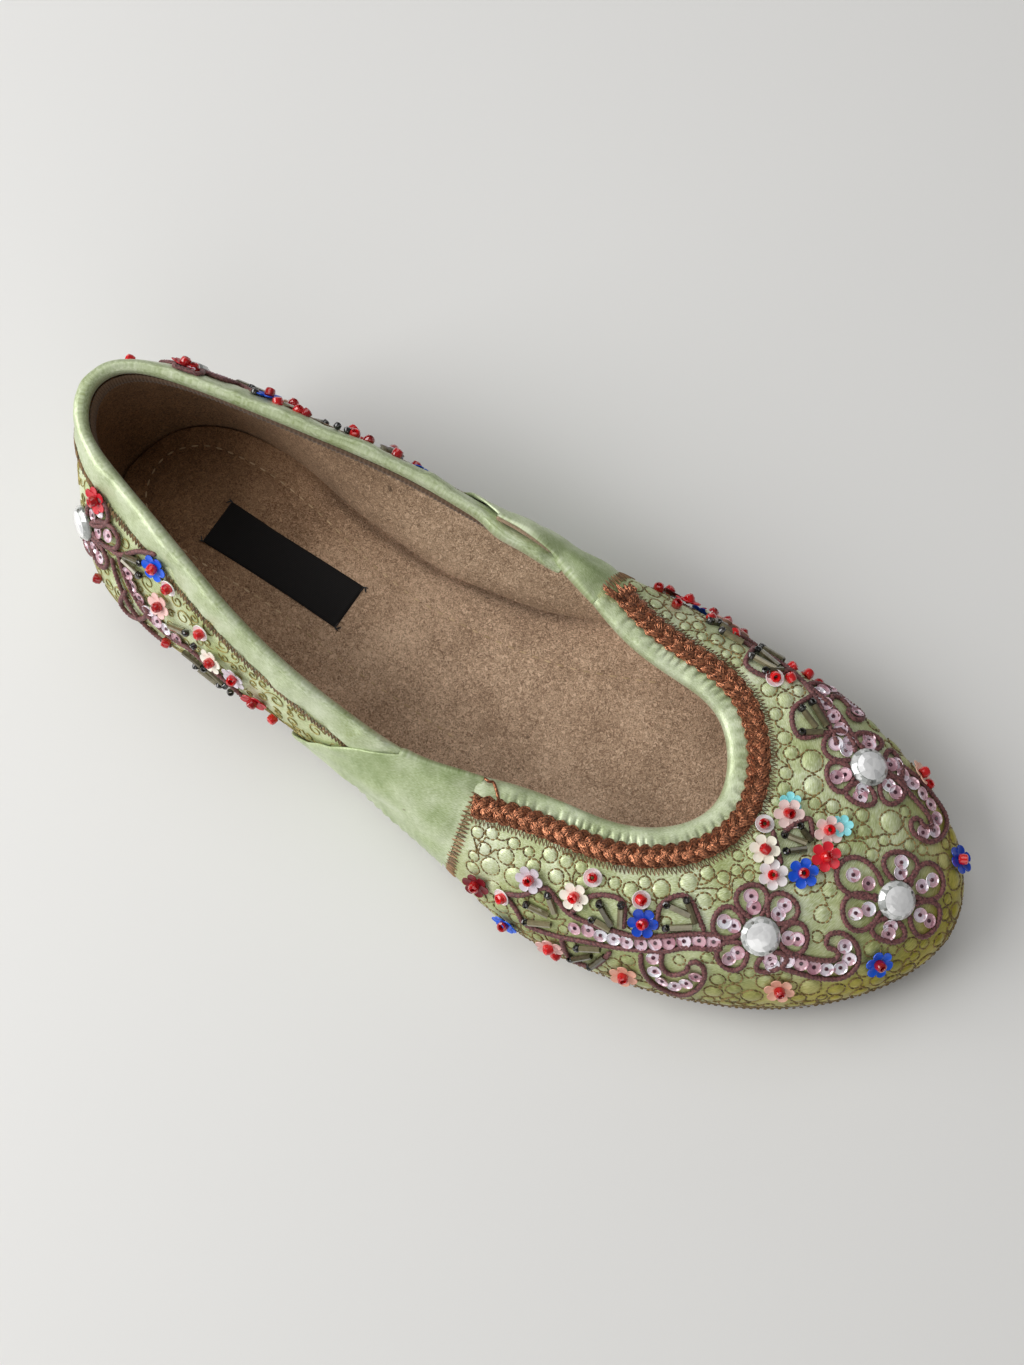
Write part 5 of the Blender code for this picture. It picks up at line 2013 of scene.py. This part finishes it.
# The plait's loose end: strands that splay over the panel's seam.
FRAYS = 34
FRAY_THICK = 0.42 * MM
chance = np.random.default_rng(93)
frays = []
for _ in range(FRAYS):
    across = chance.uniform(-0.5, 0.5) * BRAID_WIDE
    reach = chance.uniform(1.0, 4.0)
    reach = (reach + 3.5 * (0.5 - across / BRAID_WIDE) ** 2 * chance.uniform(0.3, 1.3)) * MM
    share = np.linspace(0, 1, 9)
    run = braid_long - 1.5 * MM + share * reach
    splay = across * (1 + share * chance.uniform(0.0, 0.55)) + chance.normal(0, 0.25 * MM) * share
    distance = braid_distance(np.minimum(run, braid_long)) + np.maximum(run - braid_long, 0)
    below = BRAID_MIDDLE + splay
    high = VAMP_OUT + (0.9 + 0.5 * np.sin(share * 3) * chance.uniform(0.2, 1.0)) * MM
    frays.append((on_wall(distance, below, high), out_of_wall(distance, below)))
tubes("braid_frays", frays, 5, FRAY_THICK, copper_braid)

# Outside the plait the panel's edge is overcast with the same copper thread, and
# so are the panel's two rear seams.
OVERCAST_BELOW = BRAID_MIDDLE + BRAID_WIDE / 2 + 0.55 * MM
OVERCAST_HALF = 0.95 * MM
OVERCAST_PITCH = 0.98 * MM
OVERCAST_PROUD = VAMP_OUT + 0.12 * MM
OVERCAST_THICK = 0.22 * MM
copper_thread = thread_finish(
    "copper_thread", (0.11, 0.055, 0.022), (0.38, 0.21, 0.095), 0.5, metallic=0.2
)
zigzag(
    "braid_overcast",
    zigzag_corners(
        BRAID_FROM, BRAID_TO, OVERCAST_BELOW, OVERCAST_HALF, OVERCAST_PITCH, OVERCAST_PROUD, 0.10, 95
    ),
    copper_thread, OVERCAST_THICK,
)
SEAM_PITCH = 1.2 * MM
SEAM_HALF = 1.6 * MM
SEAM_THICK = 0.36 * MM
SEAM_IN = 0.35 * MM         # the zigzag's middle, in from the panel's edge


def seam_corners(edge, middle, inward, seed):
    """Corners of a zigzag down one rear seam of the panel, from the plait to the sole."""
    chance = np.random.default_rng(seed)
    below = np.arange(BRAID_MIDDLE - BRAID_WIDE / 2, wall_depth(middle) - 1.3 * MM, SEAM_PITCH / 2)
    swing = np.where(np.arange(len(below)) % 2 == 0, -SEAM_HALF, SEAM_HALF)
    swing = swing * (1 + chance.normal(0, 0.12, len(below)))
    distance = vamp_distance(edge, below, middle) + swing + inward
    return on_wall(distance, below, OVERCAST_PROUD), out_of_wall(distance, below)


for side, edge, middle, inward, seed in (
    ("lateral", 0.0, VAMP_FROM, SEAM_IN, 97), ("medial", 1.0, VAMP_TO, -SEAM_IN, 98),
):
    zigzag(
        "seam_overcast_" + side, seam_corners(edge, middle, inward, seed), copper_thread,
        SEAM_THICK,
    )

# A brown thread end was left standing where the throat's binding starts. Its
# places are run from the plait's end, depth and height off the wall, in mm.
TAIL_THICK = 0.75 * MM
TAIL = ((1.6, -0.4, 0.9), (3.2, 0.4, 1.7), (4.4, 0.3, 1.3), (5.6, 1.6, 1.3), (6.6, 3.2, 1.2), (7.6, 4.6, 1.0))
tail_run, tail_below, tail_high = np.array(TAIL).T * MM
tail = walk(on_wall(BRAID_FROM + tail_run, tail_below, tail_high), 0.3 * MM)
tail_out = np.tile(UP, (len(tail), 1))
tubes("thread_tail", [(tail, tail_out)], 6, TAIL_THICK, copper_braid)


# ------------------------ Feather edge
# Where the panel's cloth turns under at the sole it is caught with small brown
# running stitches all round.
EDGE_UP = 1.5 * MM
EDGE_PITCH = 1.161 * MM
EDGE_HIGH = 0.62 * MM
EDGE_STITCH = (0.95 * MM, 0.3 * MM, 0.3 * MM)
edge_distance = np.arange(0, ALL_ROUND, EDGE_PITCH)
edge_below = wall_depth(edge_distance) - EDGE_UP
edge_points = on_wall(edge_distance, edge_below, EDGE_HIGH)
edge_outs = out_of_wall(edge_distance, edge_below)
edge_next = np.roll(edge_points, -1, axis=0)
scatter(
    "feather_edge_stitches", spindle(4, 4),
    seat((edge_points + edge_next) / 2, edge_outs, edge_next - edge_points, EDGE_STITCH),
    quilt_thread,
)


# ------------------------ Plum cord
# Fine two-ply plum cord, laid on the cloth and couched down along every drawn line:
# petals, stems, tails and fans.
CORD_THICK = 1.55 * MM
CORD_PLY = 0.38             # how deep the twist of its two plies cuts
CORD_TWIST = 1.9 * MM
# The short changes of tone along its run are painted shade of the twisted plies.
plum_cord = cord_finish("plum_cord", (0.044, 0.012, 0.014), (0.27, 0.098, 0.094), 0.55, 0.0, 0.7 * MM, 0.12)
tubes(
    "plum_cord", laid_lines(cord_lines, VAMP_OUT + CORD_THICK * 0.36), 8, CORD_THICK, plum_cord,
    ply=CORD_PLY, pitch=CORD_TWIST, flat=0.85,
)


# ------------------------ Beadwork
# Sewn on last: foiled acrylic stones, cupped sequins, flower sequins each held
# by a red seed bead, and smoky bugles with a black bead at one end.
SEQUIN_PROFILE = ((0.10, 0.0), (0.42, 0.0), (0.5, 0.10), (0.48, 0.13), (0.40, 0.045), (0.10, 0.045))
FLOWER_PROFILE = (
    (0.05, 0.0), (0.26, 0.0), (0.42, 0.03), (0.5, 0.065), (0.49, 0.09), (0.27, 0.03), (0.05, 0.03),
)


def turned(name, profile, steps):
    """A closed profile of (radius, height) points turned once round Z."""
    shape = bmesh.new()
    verts = [shape.verts.new((radius, 0.0, high)) for radius, high in profile]
    edges = [shape.edges.new((verts[i - 1], verts[i])) for i in range(len(verts))]
    bmesh.ops.spin(
        shape, geom=verts + edges, axis=(0, 0, 1), cent=(0, 0, 0), angle=TURN, steps=steps,
        use_merge=True,
    )
    bmesh.ops.recalc_face_normals(shape, faces=shape.faces)
    return mesh_from(shape, name)


def ring_profile(radius, inner, high, count):
    """A round ring's section, for a bead."""
    angle = np.arange(count) * TURN / count
    middle = (radius + inner) / 2
    return [(middle + (radius - inner) / 2 * math.cos(a), high / 2 * math.sin(a)) for a in angle]


def flower_template():
    """A shallow cupped flower with six round petals."""
    mesh = turned("flower", FLOWER_PROFILE, 48)
    for vert in mesh.vertices:
        reach = math.hypot(vert.co.x, vert.co.y)
        if reach > 0.2:
            angle = math.atan2(vert.co.y, vert.co.x)
            petal = 0.68 + 0.32 * abs(math.cos(3 * angle)) ** 0.55
            pull = 1 - (1 - petal) * min(1.0, (reach - 0.2) / 0.20)
            vert.co.x *= pull
            vert.co.y *= pull
    return mesh


def gem_template(name, tiers):
    """A round stone cut in tiers of facets, each tier a ring of (count, radius, height, turn)."""
    shape = bmesh.new()
    for count, radius, high, turn in tiers:
        for i in range(count):
            angle = turn + i * TURN / count
            shape.verts.new((radius * math.cos(angle), radius * math.sin(angle), high))
    hull = bmesh.ops.convex_hull(shape, input=shape.verts)
    spare = [item for item in hull["geom_interior"] if isinstance(item, bmesh.types.BMVert)]
    bmesh.ops.delete(shape, geom=spare, context="VERTS")
    bmesh.ops.dissolve_limit(shape, angle_limit=0.03, verts=shape.verts, edges=shape.edges)
    bmesh.ops.recalc_face_normals(shape, faces=shape.faces)
    return mesh_from(shape, name)


def bead_finish(name, dark, light, roughness=0.08, metallic=0.0, coat=1.0):
    """Glass or lacquered plastic: its own shade, clouded a little, under a clear gloss."""
    made, tree, shader = new_finish(name, {
        "Roughness": roughness, "Metallic": metallic, "Coat Weight": coat, "Coat Roughness": 0.04,
    })
    own = add_node(tree, "Attribute", attribute_name="shade")
    fleck = add_fleck(tree, (own, "Fac"), 900.0, 0.45)
    tone = add_ramp(tree, ((0.2, dark), (0.8, light)))
    wire(tree, (fleck, "Tone", tone, "Fac"), (tone, "Color", shader, "Base Color"))
    return made


def glint_group():
    """Small patches of tone, blended with the piece's own: painted glints."""
    group, given, result = new_group(
        "glints", (("Place", "Vector"), ("Fineness", "Float"), ("Own", "Float")), (("Tone", "Float"),)
    )
    patch = add_node(group, "TexVoronoi", feature="F1")
    pick = add_node(group, "SeparateColor")
    both = add_node(group, "Mix", {"Factor": 0.55})
    wire(
        group, (given, "Place", patch, "Vector"), (given, "Fineness", patch, "Scale"),
        (patch, "Color", pick, "Color"), (given, "Own", both, "A"), (pick, "Red", both, "B"),
        (both, "Result", result, "Tone"),
    )
    return group


GLINTS = glint_group()


def shine_finish(name, stops, scale, roughness, metallic):
    """Pearly or foiled plastic whose colour breaks up in small patches, painted reflections of its facets and
    painted sheen.
    """
    made, tree, shader = new_finish(name, {
        "Roughness": roughness, "Metallic": metallic, "Coat Weight": 0.8, "Coat Roughness": 0.05,
    })
    own = add_node(tree, "Attribute", attribute_name="shade")
    place = add_node(tree, "TexCoord")
    group = add_node(tree, "Group", {"Fineness": scale}, node_tree=GLINTS)
    tone = add_ramp(tree, stops)
    wire(
        tree, (place, "Object", group, "Place"), (own, "Fac", group, "Own"), (group, "Tone", tone, "Fac"),
        (tone, "Color", shader, "Base Color"),
    )
    return made


BEAD_CHANCE = np.random.default_rng(101)


def stand(places, proud, size, tilt=0.0):
    """Seats for round things laid flat on the wall at these places in mm, each turned at random."""
    points, outs = laid(np.array(places, float) * MM, proud)
    if tilt:
        outs = outs + BEAD_CHANCE.normal(0, tilt, outs.shape)
    ways = np.cross(outs, BEAD_CHANCE.normal(0, 1, outs.shape))
    return seat(points, outs, ways, size)


# A stone is a clear bevelled rim round a bright foiled middle, sewn down through two holes.
GEM_HIGH = VAMP_OUT + 0.1 * MM
GEM_RIM = ((24, 0.47, 0.0, 0.0), (24, 0.5, 0.05, 0.0), (24, 0.49, 0.10, 0.0), (18, 0.39, 0.20, 0.09))
GEM_FOIL = ((18, 0.33, 0.10, 0.0), (18, 0.37, 0.205, 0.09), (9, 0.24, 0.245, 0.2), (5, 0.10, 0.262, 0.5))
# The grey to white patches on the stones are painted reflections of their facets.
gem_clear = shine_finish(
    "gem_clear", ((0.1, (0.20, 0.21, 0.20)), (0.5, (0.50, 0.52, 0.50)), (0.8, (0.88, 0.89, 0.88))),
    900.0, 0.08, 0.2,
)
gem_foil = shine_finish(
    "gem_foil", ((0.1, (0.52, 0.53, 0.54)), (0.35, (0.86, 0.86, 0.86)), (0.8, (0.99, 0.99, 0.99))),
    520.0, 0.16, 0.2,
)
gem_seats = stand(GEMS / MM, GEM_HIGH, GEM_WIDE)
scatter("gem_rims", gem_template("gem_rim", GEM_RIM), gem_seats, gem_clear, sharp=5)
scatter("gems", gem_template("gem", GEM_FOIL), gem_seats, gem_foil, sharp=5)
GEM_HOLE_AT = 0.405 * GEM_WIDE
GEM_HOLE_HIGH = 0.165 * GEM_WIDE
GEM_HOLE_WIDE = 0.85 * MM
hole_seats = []
for place in gem_seats:
    for side in (-1, 1):
        hole = place.copy()
        hole[:3, :3] *= GEM_HOLE_WIDE / GEM_WIDE
        hole[:3, 3] += unit(place[:3, 0]) * side * GEM_HOLE_AT + unit(place[:3, 2]) * GEM_HOLE_HIGH
        hole_seats.append(hole)
gem_thread = bead_finish("gem_thread", (0.05, 0.05, 0.045), (0.20, 0.20, 0.18), 0.5, 0.0, 0.2)
scatter("gem_stitches", spindle(6, 6), hole_seats, gem_thread)

SEQUIN_WIDE = 3.5 * MM
SEQUIN_HIGH = VAMP_OUT + 0.35 * MM
KNOT_HIGH = VAMP_OUT + 0.55 * MM
KNOT = (1.1 * MM, 1.1 * MM, 0.8 * MM)
# The pink to white patches are a painted pearly sheen.
sequin_pearl = shine_finish(
    "sequin_pearl",
    (
        (0.1, (0.50, 0.24, 0.30)), (0.35, (0.72, 0.44, 0.50)), (0.6, (0.82, 0.66, 0.76)),
        (0.82, (0.95, 0.94, 1.0)),
    ),
    620.0, 0.2, 0.15,
)
sequin = turned("sequin", SEQUIN_PROFILE, 16)
small_places = np.vstack([petal_dots / MM, np.array(SMALL_SEQUINS)])
scatter(
    "small_sequins", sequin,
    stand(small_places, SEQUIN_HIGH, (SEQUIN_WIDE, SEQUIN_WIDE, SEQUIN_WIDE * 1.2), tilt=0.12),
    sequin_pearl,
)
plum_bead = bead_finish("plum_bead", (0.06, 0.02, 0.035), (0.16, 0.06, 0.08), 0.2)
dot = turned("dot", ring_profile(0.5, 0.08, 0.7, 6), 8)
scatter(
    "sequin_knots", dot, stand(small_places, KNOT_HIGH, KNOT, tilt=0.15), plum_bead
)

FLOWER_WIDE = 7.2 * MM
FLOWER_HIGH = VAMP_OUT + 0.75 * MM
SEA_SHARE = 0.75            # the sea-blue ones are smaller
FLOWER_COLOURS = {
    # lacquer of each flower sequin, from its dark to its light
    "dark_red": ((0.14, 0.003, 0.008), (0.30, 0.008, 0.018)),
    "red": ((0.52, 0.008, 0.020), (0.80, 0.020, 0.040)),
    "blue": ((0.0, 0.040, 0.46), (0.0, 0.130, 0.92)),
    "pink": ((0.84, 0.46, 0.42), (0.94, 0.62, 0.57)),
    "shell": ((0.90, 0.66, 0.62), (0.97, 0.80, 0.76)),
    "peach": ((0.84, 0.42, 0.30), (0.93, 0.56, 0.42)),
    "ivory": ((0.86, 0.81, 0.64), (0.96, 0.92, 0.80)),
    "lilac": ((0.66, 0.60, 0.66), (0.88, 0.84, 0.92)),
    "white": ((0.82, 0.76, 0.77), (0.93, 0.90, 0.91)),
    "sea": ((0.20, 0.80, 0.86), (0.55, 0.97, 1.0)),
}
flower = flower_template()
bead = turned("bead", ring_profile(0.5, 0.13, 0.82, 7), 11)
red_glass = bead_finish("red_glass", (0.30, 0.002, 0.004), (0.78, 0.010, 0.012), 0.06)
for colour, places in CUPPED_FLOWERS.items():
    dark, light = FLOWER_COLOURS[colour]
    scatter(
        "flower_sequins_" + colour, flower,
        stand(places, FLOWER_HIGH, FLOWER_WIDE * (SEA_SHARE if colour == "sea" else 1.0), tilt=0.09),
        bead_finish(colour + "_lacquer", dark, light, 0.38, coat=0.25), sharp=35,
    )
CUP_WIDE = 4.5 * MM
CUP_HIGH = VAMP_OUT + 0.6 * MM
cup_white = bead_finish("cup_white", (0.96, 0.95, 0.95), (1.0, 0.99, 0.99), 0.38, coat=0.25)
scatter(
    "round_cups", sequin, stand(ROUND_CUPS, CUP_HIGH, (CUP_WIDE, CUP_WIDE, CUP_WIDE * 0.9), 0.12),
    cup_white,
)
held = [place for colour, group in CUPPED_FLOWERS.items() if colour != "sea" for place in group]
BEAD_WIDE = 2.8 * MM
RED_BEADS = (
    # places, height of the bead's middle off the panel in mm, tilt
    (held, 1.75, 0.35), (ROUND_CUPS, 1.55, 0.35), (LONE_RED, 0.85, 0.6),
)
red_seats = np.concatenate([
    stand(places, VAMP_OUT + high * MM, BEAD_WIDE, tilt) for places, high, tilt in RED_BEADS
])
scatter("red_beads", bead, red_seats, red_glass)
BLACK_WIDE = 1.95 * MM
BLACK_HIGH = VAMP_OUT + 1.0 * MM
black_glass = bead_finish("black_glass", (0.008, 0.008, 0.008), (0.035, 0.032, 0.028))
black_places = [pair[0] for pair in BUGLES] + list(LONE_BLACK)
scatter(
    "black_beads", bead, stand(black_places, BLACK_HIGH, BLACK_WIDE, 0.5), black_glass
)

BUGLE_THICK = 1.65 * MM
BUGLE_HIGH = VAMP_OUT + 0.85 * MM
BUGLE_RISE = 0.10 * MM      # how much higher it lies at the black bead
BUGLE_SHORT = 0.85 * MM     # how far from the black bead's middle it starts
bugle = turned("bugle", ((0.28, -0.5), (0.5, -0.5), (0.5, 0.5), (0.28, 0.5)), 8)
bugle.transform(Matrix.Rotation(math.pi / 2, 4, "Y"))
smoky_glass = bead_finish("smoky_glass", (0.050, 0.042, 0.018), (0.30, 0.26, 0.145), 0.10, 0.25)
starts = laid(np.array([pair[0] for pair in BUGLES]) * MM, BUGLE_HIGH + BUGLE_RISE)[0]
ends, end_outs = laid(np.array([pair[1] for pair in BUGLES]) * MM, BUGLE_HIGH)
runs = ends - starts
longs = np.linalg.norm(runs, axis=1)
starts = starts + runs * (BUGLE_SHORT / longs)[:, None]
sizes = np.full((len(longs), 3), BUGLE_THICK)
sizes[:, 0] = longs - BUGLE_SHORT
bugle_seats = seat((starts + ends) / 2, end_outs, runs, sizes)
scatter("bugles", bugle, bugle_seats, smoky_glass, sharp=40)
